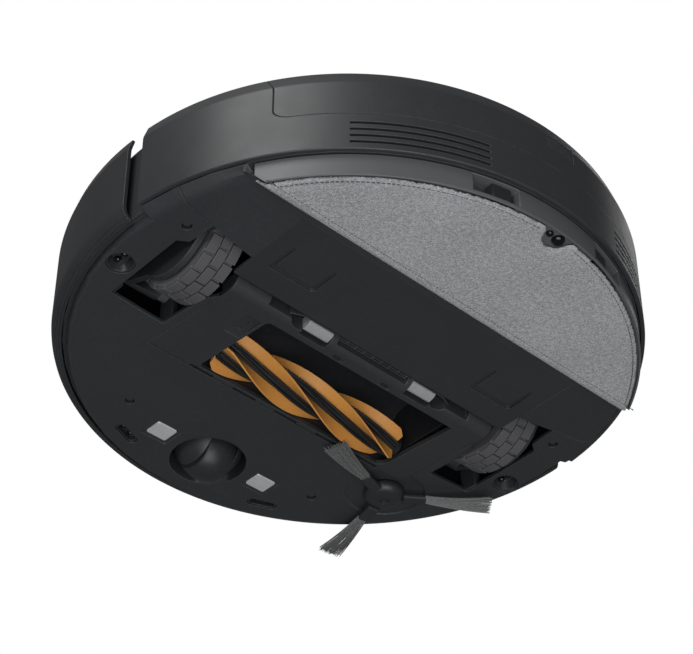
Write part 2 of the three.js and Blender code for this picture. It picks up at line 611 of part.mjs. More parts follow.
function rollerCore() {
  const [right, left] = [ROLLER_ENDS.right[0] + 1, ROLLER_ENDS.left[1] - 1];
  const [x0, x1] = [ROLLER.x0 - 1.5, ROLLER.x1 + 1.5];
  const r = ROLLER.coreR;
  const s = ROLLER.shaftR;
  return turnedX([[0, right], [s, right], [s, x0], [r, x0], [r, x1], [s, x1], [s, left], [0, left]],
    ROLLER.y, ROLLER.z, 20);
}

// A sleeve with four blades, twisted along its length.
function rollerFins() {
  const base = ROLLER.coreR + FINS.clear;
  const section = [];
  for (let i = 0; i < FINS.count; i++) {
    const a = (i / FINS.count) * 2 * Math.PI;
    const half = FINS.thick / 2;
    const foot = base + FINS.sleeve;
    const [c, s] = [Math.cos(a), Math.sin(a)];
    const tip = ROLLER.finR - 0.2;
    for (const [r, t] of [[foot, -half], [tip, -half * 0.6], [tip, half * 0.6], [foot, half]]) {
      section.push(new THREE.Vector2(r * c - t * s, r * s + t * c));
    }
    for (const part of [0.25, 0.5, 0.75]) {
      const mid = a + part * 2 * Math.PI / FINS.count;
      section.push(new THREE.Vector2(foot * Math.cos(mid), foot * Math.sin(mid)));
    }
  }
  const shape = new THREE.Shape(section);
  shape.holes.push(new THREE.Path(Array.from({ length: 24 }, (_, i) => {
    const a = -(i / 24) * 2 * Math.PI;
    return new THREE.Vector2(base * Math.cos(a), base * Math.sin(a));
  })));
  const length = ROLLER.x1 - ROLLER.x0;
  const blades = new THREE.ExtrudeGeometry(shape, { depth: length, steps: FINS.steps, bevelEnabled: false });
  const spot = blades.attributes.position;
  for (let i = 0; i < spot.count; i++) {
    const a = (FINS.startDegrees + (spot.getZ(i) / length) * FINS.turnDegrees) * Math.PI / 180;
    const [x, y] = [spot.getX(i), spot.getY(i)];
    spot.setXY(i, x * Math.cos(a) - y * Math.sin(a), x * Math.sin(a) + y * Math.cos(a));
  }
  return toSolid(blades).rotate([0, 90, 0]).translate([ROLLER.x0, ROLLER.y, ROLLER.z]);
}

// ---- side brush ----
function sideBrushHub() {
  const { x, y, hubR, z } = SIDE_BRUSH;
  const cap = turned([[0, z], [hubR - 3, z], [hubR, z + 2.5], [hubR, z + 6], [hubR - 2, z + 7.6], [4, z + 7.6],
    [4, 22], [0, 22]], SMALL);
  return moved(cap, x, y, 0);
}

// A soft rubber sleeve that grips a flat bundle of bristles, which droops and fans out to its tip.
function bristleTuft(angle) {
  const { x, y, hubR, armR, kneeR, reach, z } = SIDE_BRUSH;
  const across = (r, half, low, high) => [[r, -half, low], [r, half, low], [r, -half, high], [r, half, high]];
  const root = across(armR - 1, 3, z + 0.6, z + 2.8);
  const knee = across(kneeR, 5.2, 0.7, 1.7);
  const tip = across(reach, 8, 0.7, 1.7);
  const sleeve = block(hubR + 0.6, armR, -3.6, 3.6, z + 0.2, z + 3.4);
  const tuft = join(sleeve, hull([...root, ...knee]), hull([...knee, ...tip]));
  return moved(tuft.rotate([0, 0, angle]), x, y, 0);
}

function sideBrushMotor() {
  const { x, y } = SIDE_BRUSH;
  const gear = roundedBox(x + 4, y, 34, 26, 6, 22.6, 40);
  const can = disc(x + 4, y, 9, 39, 58);
  const foot = cut(disc(x, y, 9, 15.4, 23), disc(x, y, 4.6, 0, 22.4));
  return join(gear, can, foot);
}

// ---- air, power and electronics ----
function fanHousing() {
  const { x, y, r, z0, z1 } = FAN;
  const drum = cut(disc(x, y, r, z0, z1), disc(x, y, r - 2, z0 + 2, z1 - 2));
  const mouth = block(x + 18, x + 40, y - 4, y + 16, z0 + 5, z1 - 5);
  return cut(drum, disc(x, y, 12, z1 - 5, z1 + 5), mouth);
}

function fanImpeller() {
  const { x, y, z0, z1 } = FAN;
  const disk = disc(0, 0, 27, z0 + 4, z0 + 6, 24);
  const boss = disc(0, 0, 6, z0 + 5, z1 - 5, 12);
  const blade = block(5, 25.5, -0.8, 0.8, z0 + 5, z1 - 6);
  const blades = Array.from({ length: 9 }, (_, i) => blade.rotate([0, 0, i * 40]));
  return moved(join(disk, boss, ...blades), x, y, 0);
}

const batteryPack = () => roundedBox(0, 50, 120, 50, 4, 11, 42);
const mainBoard = () => roundedBox(0, -5, 150, 104, 6, 64.6, 66.4);

// ---- dust bin ----
function dustBin() {
  const { halfX, y0, r, z0, z1, wall } = BIN_BOX;
  const outer = common(block(-halfX, halfX, y0, 180, z0, z1), disc(0, 0, r, 0, 100, ROUND));
  const inner = common(
    block(-halfX + wall, halfX - wall, y0 + wall, 180, z0 + wall, z1 - wall),
    disc(0, 0, r - wall, 0, 100, ROUND),
  );
  const inlet = block(DUCT.x0, DUCT.x1, y0 - 2, y0 + 5, DUCT.z0, DUCT.z1);
  const outlet = block(FILTER.x0 + 3, FILTER.x1 - 3, FILTER.y0 + 3, FILTER.y1 - 3, z0 - 2, z0 + 5);
  return cut(outer, inner, inlet, outlet);
}

function binFilter() {
  const { x0, x1, y0, y1 } = FILTER;
  return roundedBox((x0 + x1) / 2, (y0 + y1) / 2, x1 - x0, y1 - y0, 2, BIN_BOX.z0 + 2.3, BIN_BOX.z0 + 12);
}

// ---- mop ----
// The D-shaped space behind the bevelled straight edge, moved back by inset.
function behindBevel(inset) {
  const [[y0, z0], [y1, z1]] = PAD_BEVEL;
  const lean = (y1 - y0) / (z1 - z0);
  return prismX([
    [y0 + inset - 10 * lean, -10], [200, -10], [200, 40], [y1 + inset, 40], [y1 + inset, z1],
  ], -180, 180);
}

function mopPad() {
  const cloth = common(disc(0, 0, PAD.r, 0, PAD.bevelTop, ROUND), behindBevel(0));
  const core = common(disc(0, 0, 190, PAD.thick, 20, 24), behindBevel(2.6));
  const tag = join(disc(-1, 166, 7.5, -1, 20, 24), block(-11, 9, 166, 180, -1, 20));
  return cut(cloth, core, tag);
}

function mopBracket() {
  const top = BRACKET.z1;
  const body = common(disc(0, 0, BRACKET.r, PAD.thick + 0.3, top, ROUND), behindBevel(3));
  const rim = common(ring(PAD.r + 0.35, BRACKET.r, BRACKET.rimZ, 6), behindBevel(3));
  const { x0, x1, depth } = LATCH_NOTCH;
  const notches = [1, -1].map((s) => {
    const [a, b] = [s * (x0 - 3), s * x1];
    return block(Math.min(a, b), Math.max(a, b), 167 - depth, 180, PAD.thick + 0.2, top - 1.4);
  });
  const hollow = common(
    disc(0, 0, BRACKET.r - 14, 6, top + 1, ROUND),
    block(-200, 200, PAD.chordY + 8, 200, 0, 60),
  );
  return cut(join(body, rim), ...notches, hollow);
}

function mopLatch(side) {
  const [x0, x1] = [LATCH_NOTCH.x0 + 0.6, LATCH_NOTCH.x0 + 12];
  const bar = block(x0, x1, 158.5, 180, PAD.thick + 0.8, BRACKET.z1 - 2);
  const held = common(bar, disc(0, 0, BRACKET.r - 2, 0, 30, ROUND));
  return side > 0 ? held : mirrored(held);
}

// ---- assembly ----
const SIDES = [['left', 1], ['right', -1]];

piece('chassis_tray', chassisTray(), 'belly');
piece('rear_lower_cover', rearLowerCover(), 'belly');
piece('battery_door', batteryDoor(), 'belly');
piece('side_shell', sideShell(), 'shell');
piece('top_cover', topCover(), 'shell');
piece('lidar_turret', lidarTurret(), 'shell');
piece('lidar_rotor', lidarRotor(), 'inner');
piece('power_button', deckButton(1), 'bumper');
piece('home_button', deckButton(-1), 'bumper');
piece('bumper', bumperShell(), 'bumper');
piece('dock_sensor_window', common(ring(173, 174.9, 0, 90), sensorPocket(0)), 'gloss');

for (const [name, side] of SIDES) {
  piece(`wheel_arm_${name}`, wheelArm(side), 'inner');
  piece(`drive_motor_${name}`, driveMotor(side), 'steel');
  piece(`wheel_hub_${name}`, wheelHub(side), 'inner');
  piece(`tyre_${name}`, tyre(side), 'rubber');
  piece(`suspension_pin_${name}`, suspensionPin(side), 'steel');
  piece(`suspension_spring_${name}`, suspensionSpring(side), 'steel');
  piece(`charging_contact_${name}`, chargingContact(side), 'plate');
}

piece('caster_turntable', casterTurntable(), 'inner');
piece('caster_wheel', casterWheel(), 'inner');
piece('caster_axle', casterAxle(), 'steel');
SIDES.forEach(([name], i) => {
  piece(`cliff_sensor_rear_${name}`, cliffRound(CLIFF_ROUND[i]), 'gloss');
  piece(`cliff_sensor_front_${name}`, cliffSlot(CLIFF_SLOTS[i]), 'gloss');
});

piece('brush_chamber', brushChamber(), 'inner');
piece('air_duct', airDuct(), 'inner');
piece('brush_guard', brushGuard(), 'belly');
SIDES.forEach(([name], i) => piece(`guard_latch_${name}`, guardLatch(GUARD_LATCHES[i]), 'latch'));
piece('roller_core', rollerCore(), 'inner');
piece('roller_fins', rollerFins(), 'roller');
for (const [name] of SIDES) piece(`roller_bearing_${name}`, rollerBearing(ROLLER_ENDS[name]), 'inner');
piece('roller_motor', rollerMotor(), 'inner');

piece('side_brush_hub', sideBrushHub(), 'inner');
SIDE_BRUSH_ARMS.forEach((angle, i) => piece(`bristle_tuft_${i + 1}`, bristleTuft(angle), 'bristle'));
piece('side_brush_motor', sideBrushMotor(), 'inner');

piece('suction_fan_housing', fanHousing(), 'inner');
piece('fan_impeller', fanImpeller(), 'inner');
piece('battery_pack', batteryPack(), 'cell');
piece('main_board', mainBoard(), 'board');

piece('dust_bin', dustBin(), 'shell');
piece('bin_filter', binFilter(), 'filter');
piece('bin_rear_cover', binRearCover(), 'shell');
piece('bin_release_button', binButton(), 'bumper');

piece('mop_bracket', mopBracket(), 'bracket');
piece('mop_pad', mopPad(), 'cloth');
for (const [name, side] of SIDES) piece(`mop_latch_${name}`, mopLatch(side), 'latch');

export default robot;
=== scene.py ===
# The looks of a round robot vacuum with a clip-on mopping pad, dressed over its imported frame.
# Meshes are drawn in millimetres and put in place in metres. The bumper faces -Y and the mop +Y.
import json
import math
import random

import bmesh
import bpy
from mathutils import Matrix, Vector

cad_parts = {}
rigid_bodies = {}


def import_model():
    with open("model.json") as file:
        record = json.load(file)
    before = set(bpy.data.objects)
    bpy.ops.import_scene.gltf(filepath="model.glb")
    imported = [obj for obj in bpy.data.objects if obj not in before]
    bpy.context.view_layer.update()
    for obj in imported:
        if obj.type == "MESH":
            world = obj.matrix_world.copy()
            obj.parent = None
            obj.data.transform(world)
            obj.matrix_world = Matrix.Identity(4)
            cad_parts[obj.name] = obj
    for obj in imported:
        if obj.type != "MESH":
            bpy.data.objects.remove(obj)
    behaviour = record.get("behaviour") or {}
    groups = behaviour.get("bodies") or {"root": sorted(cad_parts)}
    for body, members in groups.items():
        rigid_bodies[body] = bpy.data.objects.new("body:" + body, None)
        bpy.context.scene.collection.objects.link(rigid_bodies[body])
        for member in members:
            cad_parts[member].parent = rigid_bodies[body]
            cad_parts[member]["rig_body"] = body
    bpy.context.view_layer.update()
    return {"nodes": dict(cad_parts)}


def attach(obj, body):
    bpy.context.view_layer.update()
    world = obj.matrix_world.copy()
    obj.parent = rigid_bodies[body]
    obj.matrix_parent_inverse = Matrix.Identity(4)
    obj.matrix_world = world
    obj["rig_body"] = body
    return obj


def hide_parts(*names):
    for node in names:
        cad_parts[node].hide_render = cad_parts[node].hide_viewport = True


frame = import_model()
scene = bpy.context.scene
MM = 0.001

# ---- camera ----
# The robot is looked at from below and behind its left side, as when it is held up to be cleaned,
# through a long lens.
CAMERA_AZIMUTH = math.radians(137.331)
CAMERA_ELEVATION = math.radians(-40.19)
CAMERA_DISTANCE = 1.21992
CAMERA_RIGHT = -0.00069
CAMERA_UP = 0.02258
CAMERA_LENS = 107.42
BELLY = 11.5                   # height of the flat of the underside

away = Vector((
    math.sin(CAMERA_AZIMUTH) * math.cos(CAMERA_ELEVATION),
    -math.cos(CAMERA_AZIMUTH) * math.cos(CAMERA_ELEVATION),
    math.sin(CAMERA_ELEVATION),
))
right = (-away).cross(Vector((0, 0, 1))).normalized()
up = right.cross(-away)
camera = bpy.data.objects.new("camera", bpy.data.cameras.new("camera"))
camera.data.lens = CAMERA_LENS
camera.data.clip_start, camera.data.clip_end = 0.05, 20
place = away * CAMERA_DISTANCE + right * CAMERA_RIGHT + up * CAMERA_UP + Vector((0, 0, BELLY * MM))
camera.matrix_world = Matrix.Translation(place) @ Matrix((right, up, away)).transposed().to_4x4()
scene.collection.objects.link(camera)
scene.camera = camera
scene.view_settings.view_transform = "Standard"


# ---- studio: pale floor, white surround, soft lights ----
# The floor is a one-sided sheet of pale paper: from above it is solid, and from underneath the
# lamps and the eye pass through it, as on a glass table.
def put(tree, kind, ins=None, **settings):
    made = tree.nodes.new(kind)
    for key, value in settings.items():
        setattr(made, key, value)
    for key, value in (ins or {}).items():
        if isinstance(value, bpy.types.NodeSocket):
            tree.links.new(value, made.inputs[key])
        else:
            made.inputs[key].default_value = value
    return made


def paper():
    mat = bpy.data.materials.new("floor_paper")
    mat.use_nodes = True
    tree = mat.node_tree
    surface = tree.nodes["Principled BSDF"]
    surface.inputs["Roughness"].default_value = 0.9
    grain = put(tree, "ShaderNodeTexNoise", {"Scale": 40.0, "Detail": 3.0})
    ramp = put(tree, "ShaderNodeMapRange", {"Value": grain.outputs["Fac"], "To Min": 0.80, "To Max": 0.84})
    tree.links.new(ramp.outputs["Result"], surface.inputs["Base Color"])
    clear = put(tree, "ShaderNodeBsdfTransparent")
    side = put(tree, "ShaderNodeNewGeometry")
    mixed = put(tree, "ShaderNodeMixShader", {
        0: side.outputs["Backfacing"], 1: surface.outputs["BSDF"], 2: clear.outputs["BSDF"],
    })
    tree.links.new(mixed.outputs[0], tree.nodes["Material Output"].inputs["Surface"])
    return mat


floor_mesh = bpy.data.meshes.new("floor")
reach = 4.0
floor_mesh.from_pydata(
    [(-reach, -reach, -0.0006), (reach, -reach, -0.0006), (reach, reach, -0.0006), (-reach, reach, -0.0006)],
    [], [(0, 1, 2, 3)],
)
floor_mesh.materials.append(paper())
floor = bpy.data.objects.new("floor", floor_mesh)
floor.visible_shadow = False
floor.visible_diffuse = False
floor.visible_glossy = False
scene.collection.objects.link(floor)

world = bpy.data.worlds.new("white_studio")
scene.world = world
world.use_nodes = True
sky = world.node_tree
seen = put(sky, "ShaderNodeLightPath")
surround = put(sky, "ShaderNodeMixRGB", {
    0: seen.outputs["Is Camera Ray"], 1: (0.11, 0.112, 0.114, 1), 2: (1, 1, 1, 1),
})
sky.links.new(surround.outputs[0], sky.nodes["Background"].inputs["Color"])


def lamp(name, spot, aim, width, height, power):
    light = bpy.data.lights.new(name, "AREA")
    light.shape = "RECTANGLE"
    light.size, light.size_y, light.energy = width, height, power
    holder = bpy.data.objects.new(name, light)
    holder.location = spot
    holder.rotation_euler = (Vector(aim) - Vector(spot)).to_track_quat("-Z", "Y").to_euler()
    scene.collection.objects.link(holder)


lamp("left_softbox", (1.25, 0.42, 1.35), (0, 0, 0.04), 0.85, 0.9, 12)
lamp("low_left_softbox", (1.6, 0.7, -0.1), (0, 0, 0.04), 0.9, 0.9, 9)
lamp("under_softbox", (0.55, 0.9, -1.5), (0, 0, 0.02), 1.5, 1.5, 20)
lamp("right_strip", (-1.5, -0.1, 1.35), (0, 0, 0.04), 0.3, 0.9, 1.6)
lamp("top_softbox", (-0.3, -0.6, 1.7), (0, 0, 0.08), 1.5, 1.5, 1.5)


# ---- finishes of the mouldings ----
# Every moulding is injection-moulded plastic with a fine spark-eroded grain. Its corners are rounded
# by the mould and polished by handling, and a little dust lies in the hollows of the grain.
def effect(name, takes, gives):
    tree = bpy.data.node_groups.new(name, "ShaderNodeTree")
    for label, kind, value in takes:
        socket = tree.interface.new_socket(label, in_out="INPUT", socket_type="NodeSocket" + kind)
        socket.default_value = value
    for label, kind in gives:
        tree.interface.new_socket(label, in_out="OUTPUT", socket_type="NodeSocket" + kind)
    return tree, put(tree, "NodeGroupInput").outputs, put(tree, "NodeGroupOutput").inputs


def sums(tree, how, a, b):
    return put(tree, "ShaderNodeMath", {0: a, 1: b}, operation=how).outputs[0]


def between(tree, amount, low, high):
    return put(tree, "ShaderNodeMixRGB", {0: amount, 1: low, 2: high}).outputs[0]


def spread(tree, value, low, high, to_low, to_high):
    return put(tree, "ShaderNodeMapRange", {
        "Value": value, "From Min": low, "From Max": high, "To Min": to_low, "To Max": to_high,
    }).outputs["Result"]


GREY = (0.5, 0.5, 0.5, 1)
rounded_edges, entry, leave = effect(
    "rounded_edges", [("Radius", "Float", 0.0005)], [("Normal", "Vector"), ("Edge", "Float")])
soft = put(rounded_edges, "ShaderNodeBevel", {"Radius": entry["Radius"]}, samples=6)
flat = put(rounded_edges, "ShaderNodeNewGeometry")
facing = put(rounded_edges, "ShaderNodeVectorMath", {0: soft.outputs["Normal"], 1: flat.outputs["Normal"]},
             operation="DOT_PRODUCT")
worn_edge = spread(rounded_edges, facing.outputs["Value"], 0.995, 0.86, 0.0, 1.0)
rounded_edges.links.new(soft.outputs["Normal"], leave["Normal"])
rounded_edges.links.new(worn_edge, leave["Edge"])

mould_grain, entry, leave = effect(
    "mould_grain",
    [("Colour", "Color", GREY), ("Worn", "Color", GREY), ("Rough", "Float", 0.5), ("Grain", "Float", 1500.0),
     ("Depth", "Float", 0.00004), ("Edge radius", "Float", 0.0005), ("Dust", "Float", 0.1)],
    [("Colour", "Color"), ("Roughness", "Float"), ("Normal", "Vector")])
where = put(mould_grain, "ShaderNodeTexCoord").outputs["Object"]
grain = put(mould_grain, "ShaderNodeTexNoise", {"Vector": where, "Scale": entry["Grain"], "Detail": 2.0})
patch = put(mould_grain, "ShaderNodeTexNoise", {
    "Vector": where, "Scale": 26.0, "Detail": 6.0, "Roughness": 0.6,
})
speck = put(mould_grain, "ShaderNodeTexNoise", {"Vector": where, "Scale": 420.0, "Detail": 4.0})
rim = put(mould_grain, "ShaderNodeGroup", {"Radius": entry["Edge radius"]}, node_tree=rounded_edges)
rub = sums(mould_grain, "MULTIPLY", rim.outputs["Edge"],
           spread(mould_grain, patch.outputs["Fac"], 0.35, 0.65, 0.25, 0.8))
tone = spread(mould_grain, patch.outputs["Fac"], 0.3, 0.7, 0.97, 1.03)
deep = put(mould_grain, "ShaderNodeVectorMath", {0: entry["Colour"], "Scale": tone}, operation="SCALE")
specks = spread(mould_grain, speck.outputs["Fac"], 0.5, 0.75, 0.0, 1.0)
dusty = sums(mould_grain, "MULTIPLY", entry["Dust"], specks)
powdered = between(mould_grain, dusty, deep.outputs["Vector"], (0.09, 0.09, 0.09, 1))
mould_grain.links.new(between(mould_grain, rub, powdered, entry["Worn"]), leave["Colour"])
shine = spread(mould_grain, patch.outputs["Fac"], 0.3, 0.7, -0.05, 0.05)
polish = sums(mould_grain, "MULTIPLY", rub, -0.12)
rough = sums(mould_grain, "ADD", sums(mould_grain, "ADD", entry["Rough"], shine), polish)
mould_grain.links.new(rough, leave["Roughness"])
relief = put(mould_grain, "ShaderNodeBump", {
    "Strength": 0.5, "Distance": entry["Depth"],
    "Height": grain.outputs["Fac"], "Normal": rim.outputs["Normal"],
})
mould_grain.links.new(relief.outputs["Normal"], leave["Normal"])


def linear(code):
    parts = [int(code[i:i + 2], 16) / 255 for i in (0, 2, 4)]
    return tuple(c / 12.92 if c <= 0.04045 else ((c + 0.055) / 1.055) ** 2.4 for c in parts) + (1,)


def blank(name):
    mat = bpy.data.materials.new(name)
    mat.use_nodes = True
    return mat, mat.node_tree, mat.node_tree.nodes["Principled BSDF"]


def dress(tree, surface, made, colour="Colour", roughness="Roughness", normal="Normal"):
    tree.links.new(made.outputs[colour], surface.inputs["Base Color"])
    tree.links.new(made.outputs[roughness], surface.inputs["Roughness"])
    tree.links.new(made.outputs[normal], surface.inputs["Normal"])


def moulded(name, colour, worn, rough=0.5, grain=1500.0, depth=0.00004, edge=0.0005, dust=0.1, level=0.5):
    mat, tree, surface = blank(name)
    made = put(tree, "ShaderNodeGroup", {
        "Colour": linear(colour), "Worn": linear(worn), "Rough": rough, "Grain": grain, "Depth": depth,
        "Edge radius": edge, "Dust": dust,
    }, node_tree=mould_grain)
    dress(tree, surface, made)
    surface.inputs["Specular IOR Level"].default_value = level
    return mat


# ---- bumper ----
# A thin sprung shell of ABS that wraps the front half. Its lower lip is rolled in, with two fine
# grooves, and a long infrared window for finding the dock is let into its face.
def as_mesh(bm, name="blank"):
    mesh = bpy.data.meshes.new(name)
    bm.to_mesh(mesh)
    return mesh


def turned(profile, start=0.0, end=360.0, steps=240):
    """A closed outline of [radius, height] turned about the upright axis, between two angles."""
    bm = bmesh.new()
    closed = end - start >= 360
    rings = []
    for i in range(steps if closed else steps + 1):
        a = math.radians(start + (end - start) * i / steps)
        rings.append([bm.verts.new((r * math.cos(a), r * math.sin(a), z)) for r, z in profile])
    last = len(profile)
    for near, far in zip(rings, rings[1:] + (rings[:1] if closed else [])):
        for k in range(last):
            m = (k + 1) % last
            bm.faces.new((near[k], far[k], far[m], near[m]))
    if not closed:
        bm.faces.new(rings[0])
        bm.faces.new(rings[-1])
    bmesh.ops.remove_doubles(bm, verts=bm.verts, dist=1e-4)
    bmesh.ops.recalc_face_normals(bm, faces=bm.faces)
    return bm


def extruded(outline, low, high, axis="z"):
    """An outline drawn out along an axis: (x, y) along z, (y, z) along x, or (x, z) along y."""
    spots = {"z": lambda a, b, c: (a, b, c), "x": lambda a, b, c: (c, a, b), "y": lambda a, b, c: (a, c, b)}
    bm = bmesh.new()
    ends = [[bm.verts.new(spots[axis](a, b, c)) for a, b in outline] for c in (low, high)]
    bm.faces.new(ends[0])
    bm.faces.new(ends[1])
    for k in range(len(outline)):
        m = (k + 1) % len(outline)
        bm.faces.new((ends[0][k], ends[0][m], ends[1][m], ends[1][k]))
    bmesh.ops.recalc_face_normals(bm, faces=bm.faces)
    return bm


def box(x0, x1, y0, y1, z0, z1):
    return extruded([(x0, y0), (x1, y0), (x1, y1), (x0, y1)], z0, z1)


def moved(bm, x=0.0, y=0.0, z=0.0, turn=0.0, about="Z"):
    bm.transform(Matrix.Translation((x, y, z)) @ Matrix.Rotation(math.radians(turn), 4, about))
    return bm


def carved(base, *tools, how="DIFFERENCE"):
    whole = bpy.data.objects.new("whole", as_mesh(base))
    scene.collection.objects.link(whole)
    cutters = []
    for tool in tools:
        cutter = bpy.data.objects.new("cutter", as_mesh(tool))
        scene.collection.objects.link(cutter)
        cutters.append(cutter)
        cut = whole.modifiers.new("cut", "BOOLEAN")
        cut.operation, cut.solver, cut.object = how, "EXACT", cutter
    bpy.context.view_layer.update()
    result = bpy.data.meshes.new_from_object(whole.evaluated_get(bpy.context.evaluated_depsgraph_get()))
    bm = bmesh.new()
    bm.from_mesh(result)
    for o in [whole, *cutters]:
        bpy.data.objects.remove(o)
    return bm


def joined(*parts):
    bm = bmesh.new()
    for part in parts:
        bm.from_mesh(as_mesh(part))
    return bm


def show(name, bm, finish, body, nodes=(), rounding=0.0, sharp=32.0):
    """Puts a mesh in place as a piece that rides on a body and stands for the named CAD nodes."""
    bm.transform(Matrix.Scale(MM, 4))
    mesh = as_mesh(bm, name)
    mesh.shade_smooth()
    mesh.set_sharp_from_angle(angle=math.radians(sharp))
    mesh.materials.append(finish)
    piece = bpy.data.objects.new(name, mesh)
    scene.collection.objects.link(piece)
    if rounding:
        soften = piece.modifiers.new("soften", "BEVEL")
        soften.width, soften.segments, soften.limit_method = rounding * MM, 2, "ANGLE"
        soften.angle_limit = math.radians(sharp)
        soften.harden_normals = True
    level = piece.modifiers.new("level", "WEIGHTED_NORMAL")
    level.keep_sharp = True
    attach(piece, body)
    if nodes:
        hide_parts(*nodes)
    return piece


BODY_R = 175.0
BUMPER_END = 2.62              # degrees past the middle of the body at each end
WINDOW = {"x": 56.0, "z0": 38.0, "z1": 54.0, "r": 174.9, "back": 173.0, "gap": 0.4}
BUMPER_PROFILE = [
    (168.4, 15.6), (169.5, 15.8), (169.9, 16.6), (170.2, 15.9), (171.5, 16.6), (171.9, 17.6), (172.4, 17.2),
    (173.4, 18.4), (174.2, 19.8), (174.7, 21.6), (175.0, 23.8), (175.0, 66.6), (174.8, 67.8), (174.4, 69.2),
    (172.7, 75.4), (172.2, 76.0), (171.0, 76.0), (170.5, 75.6), (172.4, 68.0), (172.5, 67.0), (172.5, 24.0),
    (171.5, 20.2), (169.8, 18.2), (168.4, 17.3),
]
bumper_plastic = moulded("bumper_plastic", "303133", "5d5e60", rough=0.47, depth=0.00003)
window_gloss = moulded("window_gloss", "0a0a0d", "16161a", rough=0.09, depth=0.000004, dust=0.03)

pocket = box(-WINDOW["x"] - WINDOW["gap"], WINDOW["x"] + WINDOW["gap"], -200, -100,
             WINDOW["z0"] - WINDOW["gap"], WINDOW["z1"] + WINDOW["gap"])
bumper = carved(turned(BUMPER_PROFILE, 180 - BUMPER_END, 360 + BUMPER_END, 220), pocket)
show("bumper_shell", bumper, bumper_plastic, "bumper", ["bumper"], rounding=0.35)
half_turn = math.degrees(math.asin(WINDOW["x"] / BODY_R))
face, back = WINDOW["r"], WINDOW["back"]
pane = turned([(back, WINDOW["z0"]), (face, WINDOW["z0"]), (face, WINDOW["z1"]), (back, WINDOW["z1"])],
              270 - half_turn, 270 + half_turn, 40)
show("dock_window_pane", pane, window_gloss, "bumper", ["dock_sensor_window"], rounding=0.4)

# ---- rear side shell ----
# A fixed wall round the rear half, moulded in one with a narrow top flange. Four exhaust slots are
# cut through it on each side of the bin, with a foam strip behind them.
SHELL_START = math.degrees(math.asin(20 / BODY_R))
BIN_WINDOW = {"x": 145.2, "z": 43.0, "corner": 6.0}
VENTS = {"rows": 4, "top": 36.2, "pitch": 4.75, "height": 1.9, "start": 47.7, "end": 73.4}
SHELL_PROFILE = [
    (172.5, 16.9), (174.5, 16.9), (175.0, 17.4), (175.0, 66.6), (174.8, 67.8), (174.5, 69.0), (171.9, 77.2),
    (171.2, 78.2), (170.2, 78.5), (163.4, 78.5), (163.4, 76.0), (168.6, 76.0), (172.5, 67.0),
]


def bin_opening(shrink):
    half, low, corner = BIN_WINDOW["x"] - shrink, BIN_WINDOW["z"] + shrink, BIN_WINDOW["corner"]
    bend = [(half - corner + corner * math.sin(t), low + corner - corner * math.cos(t))
            for t in (math.radians(10 * k) for k in range(10))]
    return extruded(bend + [(half, 100), (-half, 100)] + [(-x, z) for x, z in reversed(bend)], 60, 190, "y")


def vent_slots():
    slots = []
    for row in range(VENTS["rows"]):
        middle = VENTS["top"] - row * VENTS["pitch"]
        low, high = middle - VENTS["height"] / 2, middle + VENTS["height"] / 2
        ring = [(168, low), (180, low), (180, high), (168, high)]
        slots.append(turned(ring, VENTS["start"], VENTS["end"], 30))
        slots.append(turned(ring, 180 - VENTS["end"], 180 - VENTS["start"], 30))
    return joined(*slots)


shell_plastic = moulded("shell_plastic", "343537", "636466", rough=0.42, depth=0.00003)
foam = moulded("exhaust_foam", "0c0c0d", "141415", rough=0.95, grain=700.0, depth=0.0006, dust=0.3)
wall = turned(SHELL_PROFILE, SHELL_START, 180 - SHELL_START, 240)
wall = carved(wall, bin_opening(0), vent_slots())
show("side_wall", wall, shell_plastic, "chassis", ["side_shell"], rounding=0.3)
strip = [(169.6, 19), (171.4, 19), (171.4, 39), (169.6, 39)]
for side, first in (("left", VENTS["start"] - 2), ("right", 178 - VENTS["end"])):
    backing = turned(strip, first, first + VENTS["end"] - VENTS["start"] + 4, 30)
    show("exhaust_foam_" + side, backing, foam, "chassis")

# ---- dust bin ----
# The bin is a tub behind the roller that pulls out backwards with its own piece of the outer wall.
# A patch of fine pyramids above the middle is the thumb button that frees its catch.
BUTTON = {"x": 10.6, "z0": 58.4, "z1": 67.2, "r": 174.8, "back": 170.5}
BIN_GAP = 0.4                  # left all round the bin's wall and round its button
button_pocket = box(-BUTTON["x"] - BIN_GAP, BUTTON["x"] + BIN_GAP, 150, 190,
                    BUTTON["z0"] - BIN_GAP, BUTTON["z1"] + BIN_GAP)
bin_wall = carved(turned(SHELL_PROFILE, 20, 160, 220), bin_opening(BIN_GAP), how="INTERSECT")
bin_wall = carved(bin_wall, button_pocket)
show("bin_wall", bin_wall, shell_plastic, "bin", ["bin_rear_cover"], rounding=0.35)

pyramids, tree, surface = blank("pyramid_grip")
made = put(tree, "ShaderNodeGroup", {
    "Colour": linear("3c3d3f"), "Worn": linear("707173"), "Rough": 0.45, "Grain": 1500.0,
    "Edge radius": 0.0005,
}, node_tree=mould_grain)
where = put(tree, "ShaderNodeTexCoord").outputs["Object"]
across, upright = (
    put(tree, "ShaderNodeTexWave", {"Vector": where, "Scale": 300.0}, bands_direction=way, wave_profile="TRI")
    for way in "XZ"
)
points = sums(tree, "MINIMUM", across.outputs["Fac"], upright.outputs["Fac"])
bumps = put(tree, "ShaderNodeBump", {
    "Strength": 1.0, "Distance": 0.0004, "Height": points, "Normal": made.outputs["Normal"],
})
dress(tree, surface, made)
tree.links.new(bumps.outputs["Normal"], surface.inputs["Normal"])
half_turn = math.degrees(math.asin(BUTTON["x"] / BODY_R))
face, back = BUTTON["r"], BUTTON["back"]
button = turned([(back, BUTTON["z0"]), (face, BUTTON["z0"]), (face, BUTTON["z1"]), (back, BUTTON["z1"])],
                90 - half_turn, 90 + half_turn, 16)
show("bin_button_grip", button, pyramids, "bin_button", ["bin_release_button"], rounding=0.4)


